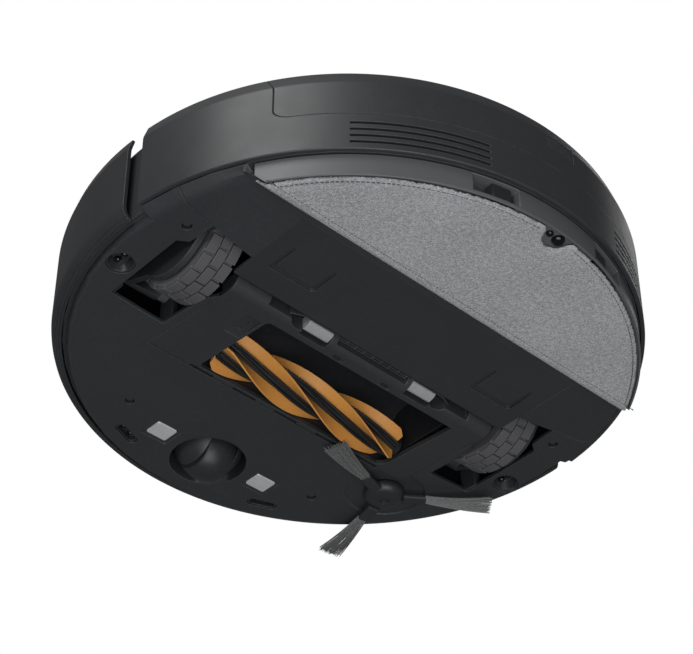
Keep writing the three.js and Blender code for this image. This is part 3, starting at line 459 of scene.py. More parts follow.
def refined(name, node, finish, rounding=0.0, sharp=32.0):
    """A CAD node's own shape with clean flats, softened corners and a detailed finish."""
    bm = bmesh.new()
    bm.from_mesh(frame["nodes"][node].data)
    bm.transform(Matrix.Scale(1 / MM, 4))
    bmesh.ops.remove_doubles(bm, verts=bm.verts, dist=0.002)
    bmesh.ops.dissolve_limit(bm, angle_limit=math.radians(0.6), verts=bm.verts, edges=bm.edges)
    return show(name, bm, finish, frame["nodes"][node]["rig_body"], [node], rounding, sharp)


tub_plastic = moulded("tub_plastic", "2a2b2d", "4a4b4d", rough=0.35)
refined("bin_tub", "dust_bin", tub_plastic, rounding=0.5)

pleats, tree, surface = blank("pleated_paper")
where = put(tree, "ShaderNodeTexCoord").outputs["Object"]
fold = put(tree, "ShaderNodeTexWave", {"Vector": where, "Scale": 90.0},
           bands_direction="X", wave_profile="TRI")
fibre = put(tree, "ShaderNodeTexNoise", {"Vector": where, "Scale": 900.0, "Detail": 4.0})
# The paper is painted darker in the valleys of the pleats and lighter on their crests, following the same
# wave as the bump: painted shade in the folds.
pleat_shade_tone = between(tree, fold.outputs["Fac"], (0.42, 0.42, 0.38, 1), (0.8, 0.8, 0.76, 1))
tree.links.new(pleat_shade_tone, surface.inputs["Base Color"])
tree.links.new(spread(tree, fibre.outputs["Fac"], 0, 1, 0.8, 1.0), surface.inputs["Roughness"])
ridge = sums(tree, "ADD", fold.outputs["Fac"], sums(tree, "MULTIPLY", fibre.outputs["Fac"], 0.1))
folds = put(tree, "ShaderNodeBump", {"Strength": 1.0, "Distance": 0.002, "Height": ridge})
tree.links.new(folds.outputs["Normal"], surface.inputs["Normal"])
refined("bin_filter_pleats", "bin_filter", pleats, rounding=0.4)

# ---- top cover ----
# A flat lid with a short skirt inside the bumper, pierced for the laser turret and two buttons.
DECK_R = 163.0
TURRET = {"y": 20.0, "hole": 42.0, "posts": 43.4, "post_r": 2.4}
BUTTONS = {"x": 12.0, "y": -62.0, "r": 7.0}


def drum(x, y, r, z0, z1, steps=48, edge=0.0):
    profile = [(0, z0), (r - edge, z0), (r, z0 + edge), (r, z1 - edge), (r - edge, z1), (0, z1)]
    return moved(turned(profile, steps=steps), x, y)


deck = turned([(0, 76), (DECK_R, 76), (DECK_R, 78.1), (DECK_R - 0.4, 78.5), (0, 78.5)])
front_end = math.degrees(math.asin(20 / DECK_R))
skirt = turned([(161, 56), (DECK_R, 56), (DECK_R, 77), (161, 77)], 180 - front_end, 360 + front_end, 180)
holes = [drum(0, TURRET["y"], TURRET["hole"], 60, 90, 120)]
holes += [drum(side * BUTTONS["x"], BUTTONS["y"], BUTTONS["r"] + 0.4, 60, 90) for side in (1, -1)]
lid = carved(carved(deck, skirt, how="UNION"), *holes)
show("top_lid", lid, shell_plastic, "chassis", ["top_cover"], rounding=0.3)
for side, name in ((1, "power"), (-1, "home")):
    cap = turned([(0, 74), (7, 74), (7, 78.2), (6.5, 78.8), (5, 78.6), (0, 78.3)], steps=64)
    stem = drum(0, 0, 2.5, 68.5, 74.5, 24)
    cap = moved(carved(cap, stem, how="UNION"), side * BUTTONS["x"], BUTTONS["y"])
    show(name + "_button_cap", cap, bumper_plastic, name + "_button", [name + "_button"])

# ---- laser turret ----
# A low cage on four posts round the spinning distance sensor, with a dished cap screwed from below.
cap_profile = [(0, 93), (44.4, 93), (45.6, 93.6), (46, 94.4), (45.8, 95.2), (45, 95.8), (43.5, 96), (39, 96),
               (38, 95.5), (0, 95.2)]
foot_profile = [(41, 78.8), (48, 78.8), (48, 79.8), (47, 80.8), (42, 81), (41, 80.4)]
cage = carved(turned(cap_profile, steps=160), turned(foot_profile, steps=160), how="UNION")
for angle in (45, 135, 225, 315):
    a = math.radians(angle)
    x, y = TURRET["posts"] * math.cos(a), TURRET["posts"] * math.sin(a)
    cage = carved(cage, drum(x, y, TURRET["post_r"], 79.8, 94, 24), how="UNION")
show("turret_cage", moved(cage, 0, TURRET["y"]), shell_plastic, "chassis", ["lidar_turret"])
inner_plastic = moulded("inner_plastic", "2c2d2f", "56575a", rough=0.4, depth=0.00004)
rotor_profile = [(0, 70), (12, 70), (12, 73.5), (36, 73.5), (38, 75.5), (38, 90), (36, 92), (0, 92)]
rotor = turned(rotor_profile, steps=120)
eyes = [moved(drum(0, 0, 6.5, 34, 60), side * 14, 0, 84, 90, "X") for side in (1, -1)]
show("turret_rotor", moved(carved(rotor, *eyes), 0, TURRET["y"]), inner_plastic, "lidar_rotor",
     ["lidar_rotor"], rounding=0.3)

# ---- underside mouldings ----
# The belly tray carries everything. Behind it sit the rear lower cover and the battery door, all in
# charcoal ABS, held by screws sunk in deep holes.
belly_plastic = moulded("belly_plastic", "313437", "5e6163", rough=0.5, depth=0.00004, edge=0.0007, dust=0.12)
door_plastic = moulded("door_plastic", "2f3235", "5a5d5f", rough=0.46, depth=0.00003, edge=0.0006, dust=0.08)
refined("belly_tray", "chassis_tray", belly_plastic)
refined("rear_belly_cover", "rear_lower_cover", belly_plastic)

screw_steel = moulded("screw_steel", "3c3d3f", "8a8b8d", rough=0.3, depth=0.000005, edge=0.0003, dust=0.2)
SCREW_PLACES = ((146, 29), (-146, 29), (73.5, -114), (-73.5, -114))
heads = []
for x, y in SCREW_PLACES:
    head = turned([(0, 13.0), (1.6, 13.0), (2.6, 13.5), (2.9, 14.4), (2.9, 15.2), (0, 15.2)], steps=32)
    cross = joined(box(-1.5, 1.5, -0.3, 0.3, 12, 14), box(-0.3, 0.3, -1.5, 1.5, 12, 14))
    heads.append(moved(carved(head, cross), x, y))
show("belly_screws", joined(*heads), screw_steel, "chassis")

# ---- drive wheels ----
# Each wheel is a nylon hub in a swinging arm, shod with a rubber tyre whose tread is three staggered
# rows of square blocks.
WHEEL = {"r": 35.0, "rim": 24.4, "y": 2.0, "in": 107.7, "out": 128.9}
TREAD = {"rows": 3, "blocks": 18, "root": 32.6, "fill": 0.85, "gap": 0.7}

rubber = moulded("tread_rubber", "5a5a5c", "a8a8aa", rough=0.75, grain=900.0, depth=0.00012, edge=0.0004,
                 dust=0.35, level=0.3)


def along_x(bm, y, z):
    """Lays an upright turned shape over, so that its height runs along X."""
    bm.transform(Matrix.Translation((0, y, z)) @ Matrix.Rotation(math.radians(90), 4, "Y"))
    return bm


def tread_block(row, index):
    wide = (WHEEL["out"] - WHEEL["in"]) / TREAD["rows"]
    x0 = WHEEL["in"] + row * wide + TREAD["gap"] / 2
    x1 = x0 + wide - TREAD["gap"]
    pitch = 360 / TREAD["blocks"]
    start = (index + 0.5 * (row % 2)) * pitch
    profile = [(TREAD["root"] - 0.4, x0), (WHEEL["r"], x0), (WHEEL["r"], x1), (TREAD["root"] - 0.4, x1)]
    return turned(profile, start, start + pitch * TREAD["fill"], 3)


for side, name in ((1, "left"), (-1, "right")):
    x0, x1, root = WHEEL["in"], WHEEL["out"], TREAD["root"]
    band = [(WHEEL["rim"], x0), (root - 1, x0), (root, x0 + 0.6), (root, x1 - 0.6), (root - 1, x1),
            (WHEEL["rim"], x1)]
    parts = [turned(band, steps=96)]
    parts += [tread_block(row, k) for row in range(TREAD["rows"]) for k in range(TREAD["blocks"])]
    tyre = along_x(joined(*parts), WHEEL["y"], WHEEL["r"])
    if side < 0:
        tyre.transform(Matrix.Scale(-1, 4, (1, 0, 0)))
        bmesh.ops.reverse_faces(tyre, faces=tyre.faces)
    show("tyre_tread_" + name, tyre, rubber, "wheel_" + name, ["tyre_" + name], rounding=0.25)
    refined("hub_" + name, "wheel_hub_" + name, inner_plastic, rounding=0.4)
    refined("swing_arm_" + name, "wheel_arm_" + name, belly_plastic)

motor_steel = moulded("motor_steel", "56585b", "8a8c8f", rough=0.32, grain=500.0, depth=0.00001)
for name in ("left", "right"):
    refined("gearmotor_" + name, "drive_motor_" + name, motor_steel, rounding=0.4)
    refined("arm_pin_" + name, "suspension_pin_" + name, motor_steel, rounding=0.2)
    refined("arm_spring_" + name, "suspension_spring_" + name, motor_steel)

# ---- caster ----
# A ball-shaped nylon turntable that fills its hole, with a barrel-shaped wheel
# in a slot across it.
CASTER = {"y": -129.0, "ball": 22.6, "ball_z": 26.0, "low": 4.2, "wheel": 18.5, "half": 10.0}
first = math.degrees(math.acos((CASTER["ball_z"] - CASTER["low"]) / CASTER["ball"]))
ball = [(0, CASTER["low"])]
for k in range(25):
    a = math.radians(first + (90 - first) * k / 24)
    ball.append((CASTER["ball"] * math.sin(a), CASTER["ball_z"] - CASTER["ball"] * math.cos(a)))
ball += [(CASTER["ball"], 46.5), (5, 46.5), (5, 58), (0, 58)]
slot = box(-CASTER["half"] - 0.6, CASTER["half"] + 0.6, -30, 30, 0, CASTER["wheel"])
well = [(0, -CASTER["half"] - 0.6), (CASTER["wheel"] + 1, -CASTER["half"] - 0.6),
        (CASTER["wheel"] + 1, CASTER["half"] + 0.6), (0, CASTER["half"] + 0.6)]
axle_hole = along_x(turned([(0, -17), (2.3, -17), (2.3, 17), (0, 17)], steps=32), 0, CASTER["wheel"])
wheel_well = along_x(turned(well, steps=96), 0, CASTER["wheel"])
turntable = carved(turned(ball, steps=120), slot, wheel_well, axle_hole)
show("caster_ball", moved(turntable, 0, CASTER["y"]), inner_plastic, "caster", ["caster_turntable"])
barrel = [(2.4, -10), (15.6, -10), (16.9, -8.4), (17.9, -5), (18.4, -2), (18.5, 0), (18.4, 2), (17.9, 5),
          (16.9, 8.4), (15.6, 10), (2.4, 10)]
show("caster_roller", along_x(turned(barrel, steps=96), CASTER["y"], CASTER["wheel"]), inner_plastic,
     "caster_wheel", ["caster_wheel"])
refined("caster_pin", "caster_axle", motor_steel, rounding=0.2)

# ---- battery door ----
# A flat hatch over the cells, with a groove round three sides of a square at each end,
# where a thumb pushes the hatch back.
DIP = {"x": 79.0, "y": 51.5, "w": 33.0, "d": 26.0, "groove": 2.5}
HATCH = {"x": 106.0, "y0": 21.2, "y1": 81.0, "z0": 6.7, "z1": 9.2}


def rounded_outline(cx, cy, wide, deep, corner, steps=6):
    outline = []
    for k, (sx, sy) in enumerate(((1, 1), (-1, 1), (-1, -1), (1, -1))):
        for i in range(steps + 1):
            a = math.radians(90 * (k + i / steps))
            outline.append((cx + sx * (wide / 2 - corner) + corner * math.cos(a),
                            cy + sy * (deep / 2 - corner) + corner * math.sin(a)))
    return outline


hatch = box(-HATCH["x"], HATCH["x"], HATCH["y0"], HATCH["y1"], HATCH["z0"], HATCH["z1"])
for x in (DIP["x"], -DIP["x"]):
    wide, deep, groove = DIP["w"], DIP["d"], DIP["groove"]
    trench = carved(
        extruded(rounded_outline(x, DIP["y"], wide, deep, 3.2), 6, 8.1),
        extruded(rounded_outline(x, DIP["y"], wide - 2 * groove, deep - 2 * groove, 1.5), 5, 9),
        box(x - 30, x + 30, DIP["y"] + deep / 2 - 5.5, DIP["y"] + 30, 0, 20),
    )
    hatch = carved(hatch, trench)
show("battery_hatch", hatch, door_plastic, "chassis", ["battery_door"], rounding=0.35, sharp=25)

# ---- charging contacts ----
# Two nickel-plated strips, pressed over at the corners, that lie in shallow frames beside the caster.
nickel, tree, surface = blank("brushed_nickel")
where = put(tree, "ShaderNodeTexCoord").outputs["Object"]
along = put(tree, "ShaderNodeMapping", {"Vector": where, "Scale": (60.0, 1800.0, 60.0)})
brushing = put(tree, "ShaderNodeTexNoise", {"Vector": along.outputs["Vector"], "Scale": 1.0, "Detail": 3.0})
smear = put(tree, "ShaderNodeTexNoise", {"Vector": where, "Scale": 160.0, "Detail": 3.0})
rim = put(tree, "ShaderNodeGroup", {"Radius": 0.0008}, node_tree=rounded_edges)
metal = between(tree, smear.outputs["Fac"], (0.8, 0.8, 0.81, 1), (1, 1, 1, 1))
tree.links.new(metal, surface.inputs["Base Color"])
tree.links.new(spread(tree, brushing.outputs["Fac"], 0.3, 0.7, 0.34, 0.5), surface.inputs["Roughness"])
scratch = put(tree, "ShaderNodeBump", {
    "Strength": 0.4, "Distance": 0.00002, "Height": brushing.outputs["Fac"], "Normal": rim.outputs["Normal"],
})
tree.links.new(scratch.outputs["Normal"], surface.inputs["Normal"])
surface.inputs["Metallic"].default_value = 0.55

CONTACT = {"x": 40, "y": -125, "w": 15, "d": 13, "corner": 1.6, "z0": 11.75, "z1": 14.6}
for side, name in ((1, "left"), (-1, "right")):
    strip = rounded_outline(side * CONTACT["x"], CONTACT["y"], CONTACT["w"], CONTACT["d"], CONTACT["corner"])
    strip = extruded(strip, CONTACT["z0"], CONTACT["z1"])
    show("contact_strip_" + name, strip, nickel, "chassis", ["charging_contact_" + name],
         rounding=0.5)

# ---- cliff sensors ----
# Infrared eyes that watch for stairs: each is a small cup in the belly with two clear domes in it.
STAIR_EYES = {"x": 154, "y": -19.5, "z": 17.2, "r": 2.3}
FRONT_EYES = {"x": 55, "y": -141, "z": 15.4, "r": 1.9, "apart": 4.2}
sensor_cup = moulded("sensor_cup", "2b2d30", "6b6d6f", rough=0.32, depth=0.00002, edge=0.0005)


def eye(x, y, z, r):
    arch = []
    for angle in range(0, 91, 15):
        a = math.radians(angle)
        arch.append((r * math.cos(a), z - 1.1 * r * math.sin(a)))
    return moved(turned([(0, z + 1), (r, z + 1)] + arch, steps=40), x, y)


for side, name in ((1, "left"), (-1, "right")):
    cup = turned([(0, 17.4), (4.6, 17.4), (7.6, 12.2), (8.2, 12.2), (8.2, 21), (0, 21)], steps=64)
    x = side * STAIR_EYES["x"]
    show("stair_sensor_cup_" + name, moved(cup, x, STAIR_EYES["y"]), sensor_cup, "chassis",
         ["cliff_sensor_rear_" + name])
    pair = joined(*(eye(x, y, STAIR_EYES["z"], STAIR_EYES["r"]) for y in (-22.6, -16.6)))
    show("stair_sensor_eyes_" + name, pair, window_gloss, "chassis")
    x, y = side * FRONT_EYES["x"], FRONT_EYES["y"]
    tilt = math.degrees(math.atan2(y, x)) + 90
    long_cup = carved(extruded(rounded_outline(0, 0, 19.2, 6.2, 3), 12.0, 18),
                      extruded(rounded_outline(0, 0, 16.4, 4.4, 2.2), 10, 15.6))
    show("front_sensor_cup_" + name, moved(long_cup, x, y, 0, tilt), sensor_cup, "chassis",
         ["cliff_sensor_front_" + name], rounding=0.3)
    apart = FRONT_EYES["apart"]
    pair = joined(*(eye(off, 0, FRONT_EYES["z"], FRONT_EYES["r"]) for off in (-apart, apart)))
    show("front_sensor_eyes_" + name, moved(pair, x, y, 0, tilt), window_gloss, "chassis")

# ---- roller ----
# The main brush: four tall blades of soft rubber, twisted along a dark core that has two low ridges
# between each pair of blades. Its steel shaft turns in a bearing at each end.
ROLLER = {"y": -43.0, "z": 16.2, "r": 14.0, "core": 6.2, "x0": -76.0, "x1": 64.0}
BLADES = {"count": 4, "start": -89.0, "turn": 232.0, "root": 1.5, "tip": 0.5, "bevel": 4.0}


def twisted(sections, start, x0, x1, steps=72):
    """A cross-section that may change along X, turned about the roller's axis as it goes."""
    bm = bmesh.new()
    rings = []
    for i in range(steps + 1):
        x = x0 + (x1 - x0) * i / steps
        turn = BLADES["start"] + BLADES["turn"] * (x - ROLLER["x0"]) / (ROLLER["x1"] - ROLLER["x0"])
        a = math.radians(start + turn)
        down, over = (math.sin(a), -math.cos(a)), (math.cos(a), math.sin(a))
        rings.append([bm.verts.new((x, ROLLER["y"] + r * down[0] + t * over[0],
                                    ROLLER["z"] + r * down[1] + t * over[1])) for r, t in sections(x)])
    for near, far in zip(rings, rings[1:]):
        for k in range(len(near)):
            m = (k + 1) % len(near)
            bm.faces.new((near[k], far[k], far[m], near[m]))
    bm.faces.new(rings[0])
    bm.faces.new(rings[-1])
    bmesh.ops.recalc_face_normals(bm, faces=bm.faces)
    return bm


def blade(x):
    inset = max(0.0, BLADES["bevel"] - min(x - ROLLER["x0"], ROLLER["x1"] - x))
    tip = ROLLER["r"] - 0.8 * inset
    return [(ROLLER["core"] - 0.5, -BLADES["root"]), (ROLLER["core"] + 3, -1.0), (tip, -BLADES["tip"]),
            (tip, BLADES["tip"]), (ROLLER["core"] + 3, 1.0), (ROLLER["core"] - 0.5, BLADES["root"])]


def low_ridge(x):
    """The same all the way along, so x isn't used."""
    foot = ROLLER["core"] - 0.5
    return [(foot, -0.9), (foot + 2.6, -0.6), (foot + 3.0, 0), (foot + 2.6, 0.6), (foot, 0.9)]


orange = moulded("blade_rubber", "e09a48", "f6c486", rough=0.5, grain=1200.0, depth=0.00003, edge=0.0003,
                 dust=0.12)
surface = orange.node_tree.nodes["Principled BSDF"]
surface.inputs["Subsurface Weight"].default_value = 0.08
surface.inputs["Subsurface Radius"].default_value = (0.004, 0.002, 0.001)
blades = [twisted(blade, k * 90, ROLLER["x0"], ROLLER["x1"]) for k in range(BLADES["count"])]
show("roller_blades", joined(*blades), orange, "roller", ["roller_fins"])

core_rubber = moulded("core_rubber", "1f2021", "4a4b4c", rough=0.45, depth=0.00003, edge=0.0004)
core = turned([(0, -91.4), (2.2, -91.4), (2.2, -80), (6.2, -80), (6.2, 65.5), (2.2, 65.5), (2.2, 75.4),
               (0, 75.4)], steps=64)
ridges = [twisted(low_ridge, k * 90 + off, ROLLER["x0"], ROLLER["x1"])
          for k in range(BLADES["count"]) for off in (31, 59)]
core = joined(along_x(core, ROLLER["y"], ROLLER["z"]), *ridges)
show("roller_core_rod", core, core_rubber, "roller", ["roller_core"])
for name in ("left", "right"):
    refined("bearing_" + name, "roller_bearing_" + name, inner_plastic, rounding=0.4)
refined("roller_gearmotor", "roller_motor", inner_plastic, rounding=0.8)

# ---- brush chamber and air duct ----
# The roller turns in a moulded tunnel fixed in the belly tray. The duct takes the dust on from it,
# up and back into the bin.
chamber_plastic = moulded("chamber_plastic", "242528", "505154", rough=0.42, depth=0.00003, edge=0.0006)
refined("roller_tunnel", "brush_chamber", chamber_plastic)
refined("dust_duct", "air_duct", chamber_plastic, rounding=0.5)

# ---- brush guard ----
# A cover of charcoal ABS that keeps the roller in, hinged along its front edge. The round-backed bar
# behind carries two thumb latches in scooped pockets, with a small grille between them.
GUARD = {"x": 101.0, "y0": -60.5, "y1": 20.5, "bar": 13.0}
LATCHES = {"left": 38.0, "right": -44.0}
LATCH_HALF = 9.2
MOUTH = [(-81, 5.5), (-81, -50.5), (-80, -54), (-77, -57.2),
         (64.5, -57.2), (66.5, -55), (66.5, 3.5), (64.5, 5.5)]


def hull(points):
    bm = bmesh.new()
    for point in points:
        bm.verts.new(point)
    made = bmesh.ops.convex_hull(bm, input=bm.verts)
    loose = [v for v in made["geom_interior"] if isinstance(v, bmesh.types.BMVert)]
    bmesh.ops.delete(bm, geom=loose, context="VERTS")
    bmesh.ops.recalc_face_normals(bm, faces=bm.faces)
    return bm


def brush_ramp(rise):
    low, nose, side, flat = 2.5 + rise, 7.5 + rise, 9.2 + rise, 12 + rise
    half = [(101, 13, low), (108.7, -42, nose), (84, -62, side), (143, -42, flat), (128, -74, flat),
            (60, -88, flat), (101, 13, flat)]
    return hull(half + [(-x, y, z) for x, y, z in half])


bar_outline = [(5.5, 3.4), (6.2, 2.9), (8, 2.75), (11, 2.5), (13.4, 2.55), (15.2, 3.0), (16.9, 3.9),
               (18.4, 5.2), (19.5, 6.8), (20.2, 8.6), (20.5, 10.6), (20.5, 13), (5.5, 13)]
extent = box(-GUARD["x"], GUARD["x"], GUARD["y0"], GUARD["bar"], 0, 16)
skin = carved(carved(brush_ramp(0), brush_ramp(3.4)), extent, how="INTERSECT")
guard = carved(skin, extruded(bar_outline, -GUARD["x"], GUARD["x"], "x"), how="UNION")
cuts = [extruded(MOUTH, 0, 20), box(-31, 24, 16.6, 22, 0, 20)]
for x in LATCHES.values():
    out = 1 if x > 0 else -1
    cuts.append(box(x - 9.8, x + 9.8, 10, 22, 0, 20))
    cuts.append(box(x + out * 29 - 9, x + out * 29 + 9, 16.5, 22, 0, 20))
    scoop = moved(turned([(0, 0), (8, 0), (8, 20), (0, 20)], steps=48), x + out * 13.4, GUARD["y1"], 0)
    cuts.append(scoop)
    cuts.append(box(x - out * 22 - 4.5, x - out * 22 + 4.5, 6.6, 10.2, 0, 3.7))
for x in (62, 29, -4, -37, -70):
    cuts.append(box(x - 9, x + 9, -62, -58.5, 0, 10.4))
thumb_slope = [(-19, 3), (-19, 5.6), (-14, 6.3), (-2, 5.9), (2.2, 4.2), (2.2, 0), (-19, 0)]
cuts.append(extruded(thumb_slope, 68.4, 79.2, "x"))
cuts.append(extruded(rounded_outline(73, -9, 2.6, 9, 1.25), 0, 7.2))
guard = carved(guard, *cuts)
show("brush_cover", guard, belly_plastic, "guard", ["brush_guard"], rounding=0.3, sharp=24)

frames = []
for x in LATCHES.values():
    out = 1 if x > 0 else -1
    rim = [(x - out * 11, 16.8), (x - out * 11, 20.3), (x + out * 14, 20.3), (x + out * 22, 17.0),
           (x + out * 22.6, 17.6), (x + out * 14.4, 21.0), (x - out * 11.8, 21.0), (x - out * 11.8, 16.8)]
    frames.append(extruded(rim, 6.2, 12.6))
for k in range(9):
    x = -30.6 + 6.7 * k
    frames.append(box(x, x + 1.0, 16.8, 20.9, 7.6, 9.4))
frames += [box(-30.6, 24, y, y + 0.8, 7.6, 9.4) for y in (16.8, 18.5, 20.1)]
show("brush_cover_grille", joined(*frames), belly_plastic, "guard", rounding=0.15)
squares = [box(x - 2.2, x + 2.2, 7.2, 9.6, 2.9, 3.9) for x in (LATCHES["left"] - 22, LATCHES["right"] + 22)]
show("brush_cover_plugs", joined(*squares), core_rubber, "guard", rounding=0.3)

latch_plastic = moulded("latch_plastic", "a2a3a5", "d8d9da", rough=0.5, depth=0.00004, edge=0.0004, dust=0.15)
tab = [(12.6, 4.9), (13.2, 4.3), (14.6, 3.7), (15.1, 3.9), (18.0, 4.7), (19.4, 5.6), (20.0, 6.8),
       (20.0, 12.5), (12.6, 12.5)]
for name, x in LATCHES.items():
    latch = "guard_latch_" + name
    shape = extruded(tab, x - LATCH_HALF, x + LATCH_HALF, "x")
    show("cover_latch_" + name, shape, latch_plastic, latch, [latch], rounding=0.35, sharp=20)

# ---- side brush ----
# A small spinning sweeper: a domed hub with three soft rubber arms, each gripping a bundle of nylon
# bristles that fans out towards its tips and droops to the floor.
SWEEPER = {"x": -103.2, "y": -77.4, "arms": (-100.3, 19.7, 139.7), "grip": 24.5, "reach": 67.0}
STRANDS = 84                   # bristles in each bundle
hub_profile = [(0, 3.8), (6, 3.9), (9, 4.4), (11.4, 5.6), (12.7, 7.4), (13, 9.4), (12.6, 10.8), (11, 11.4),
               (4, 11.4), (4, 22), (0, 22)]
socket = drum(0, 0, 3.4, 0, 5.2, 32)
hub = moved(carved(turned(hub_profile, steps=72), socket), SWEEPER["x"], SWEEPER["y"])
show("sweeper_hub", hub, inner_plastic, "side_brush", ["side_brush_hub"])

nylon, tree, surface = blank("nylon_bristle")
where = put(tree, "ShaderNodeTexCoord").outputs["Object"]
strand_tone = put(tree, "ShaderNodeTexNoise", {"Vector": where, "Scale": 900.0, "Detail": 2.0})
tone = between(tree, strand_tone.outputs["Fac"], linear("3c3d3e"), linear("9c9d9d"))
tree.links.new(tone, surface.inputs["Base Color"])
tree.links.new(spread(tree, strand_tone.outputs["Fac"], 0.2, 0.8, 0.5, 0.7), surface.inputs["Roughness"])
soft_rubber = moulded("arm_rubber", "2c2d2f", "5a5b5d", rough=0.6, depth=0.00006, edge=0.0006)
chance = random.Random(7)


def strand(y0, y1, z0, reach, curl):
    """One bristle as a thin three-sided wire that leaves the arm and bends down to the floor."""
    bm = bmesh.new()
    rings = []
    for i in range(7):
        t = i / 6
        x = SWEEPER["grip"] + (reach - SWEEPER["grip"]) * t
        y = y0 + (y1 - y0) * t + curl * t * t
        z = max(0.5, z0 - 5.2 * t * (1.6 - t) + 0.25)
        r = 0.26 - 0.06 * t
        rings.append([bm.verts.new((x, y + r * math.cos(a), z + r * math.sin(a))) for a in (0.5, 2.6, 4.7)])
    for near, far in zip(rings, rings[1:]):
        for k in range(3):
            bm.faces.new((near[k], near[(k + 1) % 3], far[(k + 1) % 3], far[k]))
    bm.faces.new(rings[0])
    bm.faces.new(rings[-1])
    bmesh.ops.recalc_face_normals(bm, faces=bm.faces)
    return bm


half_arm = [(11.8, 4.2), (17, 3.8), (25, 3.3), (26.6, 2.6)]
arm_outline = [(x, -y) for x, y in half_arm] + half_arm[::-1]
for index, angle in enumerate(SWEEPER["arms"], 1):
    arm = moved(extruded(arm_outline, 4.1, 7.3), SWEEPER["x"], SWEEPER["y"], 0, angle)
    show(f"sweeper_arm_{index}", arm, soft_rubber, "side_brush", rounding=0.9)
    strands = []
    for k in range(STRANDS):
        across = (k + 0.5) / STRANDS * 2 - 1
        fan_out = 7.6 * across + chance.uniform(-0.5, 0.5)
        height = chance.uniform(4.6, 6.8)
        length = SWEEPER["reach"] + chance.uniform(-1.6, 1.2)
        strands.append(strand(2.7 * across, fan_out, height, length, chance.uniform(-0.6, 0.6)))
    tuft = moved(joined(*strands), SWEEPER["x"], SWEEPER["y"], 0, angle)
    show(f"sweeper_bristles_{index}", tuft, nylon, "side_brush", [f"bristle_tuft_{index}"])
refined("sweeper_gearmotor", "side_brush_motor", inner_plastic, rounding=0.5)

# ---- suction fan, battery and circuit board ----
# The works inside the body: a radial fan, a pack of cells in shrink-wrap, and one main board.
refined("fan_case", "suction_fan_housing", inner_plastic, rounding=0.5)
refined("fan_wheel", "fan_impeller", tub_plastic, rounding=0.2)
wrap = moulded("cell_wrap", "2a4b7c", "5c7cab", rough=0.35, grain=300.0, depth=0.00008, edge=0.0015)
refined("cell_pack", "battery_pack", wrap, rounding=0.6)

board, tree, surface = blank("solder_mask")
where = put(tree, "ShaderNodeTexCoord").outputs["Object"]
tracks = put(tree, "ShaderNodeTexVoronoi", {"Vector": where, "Scale": 220.0}, distance="MANHATTAN")
track_edge = spread(tree, tracks.outputs["Distance"], 0.3, 0.34, 0, 1)
copper = between(tree, track_edge, linear("1d5a35"), linear("2f7a4b"))
tree.links.new(copper, surface.inputs["Base Color"])
tree.links.new(spread(tree, tracks.outputs["Distance"], 0, 1, 0.3, 0.5), surface.inputs["Roughness"])
lift = put(tree, "ShaderNodeBump", {
    "Strength": 0.4, "Distance": 0.0001, "Height": tracks.outputs["Distance"],
})
tree.links.new(lift.outputs["Normal"], surface.inputs["Normal"])
refined("circuit_board", "main_board", board, rounding=0.1)
film = moulded("black_film", "101113", "1c1d1f", rough=0.4, depth=0.00005, edge=0.0002)
shield = extruded(rounded_outline(0, -5, 151, 105, 6), 63.3, 63.7)
show("board_insulator", shield, film, "chassis")

# ---- mop ----
# A clip-on plate of pale ABS with a rim, held by a squeeze latch in a notch at each side, and under
# it a woven microfibre pad that is stuck on with hook tape and cut out for a finger at the back.
PAD = {"r": 169.1, "chord": 84.0, "face": 90.0, "inside": 2.75, "bevel": 7.4}
PLATE = {"r": 171.2, "top": 16.6, "rim": 1.2}
PUFF = {"voxel": 0.0017, "pressure": 4, "frames": 12, "most": 0.0005}   # metres


def behind_bevel(inset):
    lean = (PAD["chord"] - PAD["face"]) / PAD["bevel"]
    near, far = PAD["face"] + inset, PAD["chord"] + inset
    outline = [(near - 10 * lean, -10), (200, -10), (200, 40), (far, 40), (far, PAD["bevel"])]
    return extruded(outline, -180, 180, "x")


plate_plastic = moulded("plate_plastic", "5b5d5f", "8a8c8e", rough=0.45, depth=0.00003, edge=0.0006, dust=0.1)
plate_edge = [(0, 3.3), (169.95, 3.3), (169.95, PLATE["rim"]), (170.8, PLATE["rim"]), (PLATE["r"], 1.7),
              (PLATE["r"], 16.0), (170.6, PLATE["top"]), (0, PLATE["top"])]
hollow = turned([(0, 6), (157.2, 6), (157.2, 18), (0, 18)], steps=160)
hollow = carved(hollow, box(-200, 200, 92, 200, 0, 60), how="INTERSECT")
notches = [box(30, 58, 156, 180, 3.2, 15.2), box(-58, -30, 156, 180, 3.2, 15.2)]
plate = carved(turned(plate_edge, steps=300), behind_bevel(3.0), how="INTERSECT")
plate = carved(plate, hollow, *notches)
show("mop_plate", plate, plate_plastic, "mop", ["mop_bracket"], rounding=0.3)
for side, name in ((1, "left"), (-1, "right")):
    a, b = sorted((side * 33.6, side * 45))
    block = carved(box(a, b, 158.5, 180, 3.8, 14.6), turned([(0, 0), (169.2, 0), (169.2, 20), (0, 20)]),
                   how="INTERSECT")
    ribs = [box(min(side * x, side * (x + 0.8)), max(side * x, side * (x + 0.8)), 166.0, 180, 4.4, 14.0)
            for x in (36.6, 39.0, 41.4)]
    show("mop_catch_" + name, carved(block, *ribs), inner_plastic, "mop_latch_" + name,
         ["mop_latch_" + name], rounding=0.3)
peg = turned([(0, 1.0), (2.6, 1.1), (3.6, 1.9), (3.9, 3.0), (3.9, 5), (0, 5)], steps=48)
small_peg = turned([(0, 1.4), (1.5, 1.5), (2.1, 2.2), (2.2, 5), (0, 5)], steps=32)
pegs = joined(moved(peg, -4, 164.4), moved(small_peg, 3.4, 165.2))
show("mop_peg", pegs, window_gloss, "mop")

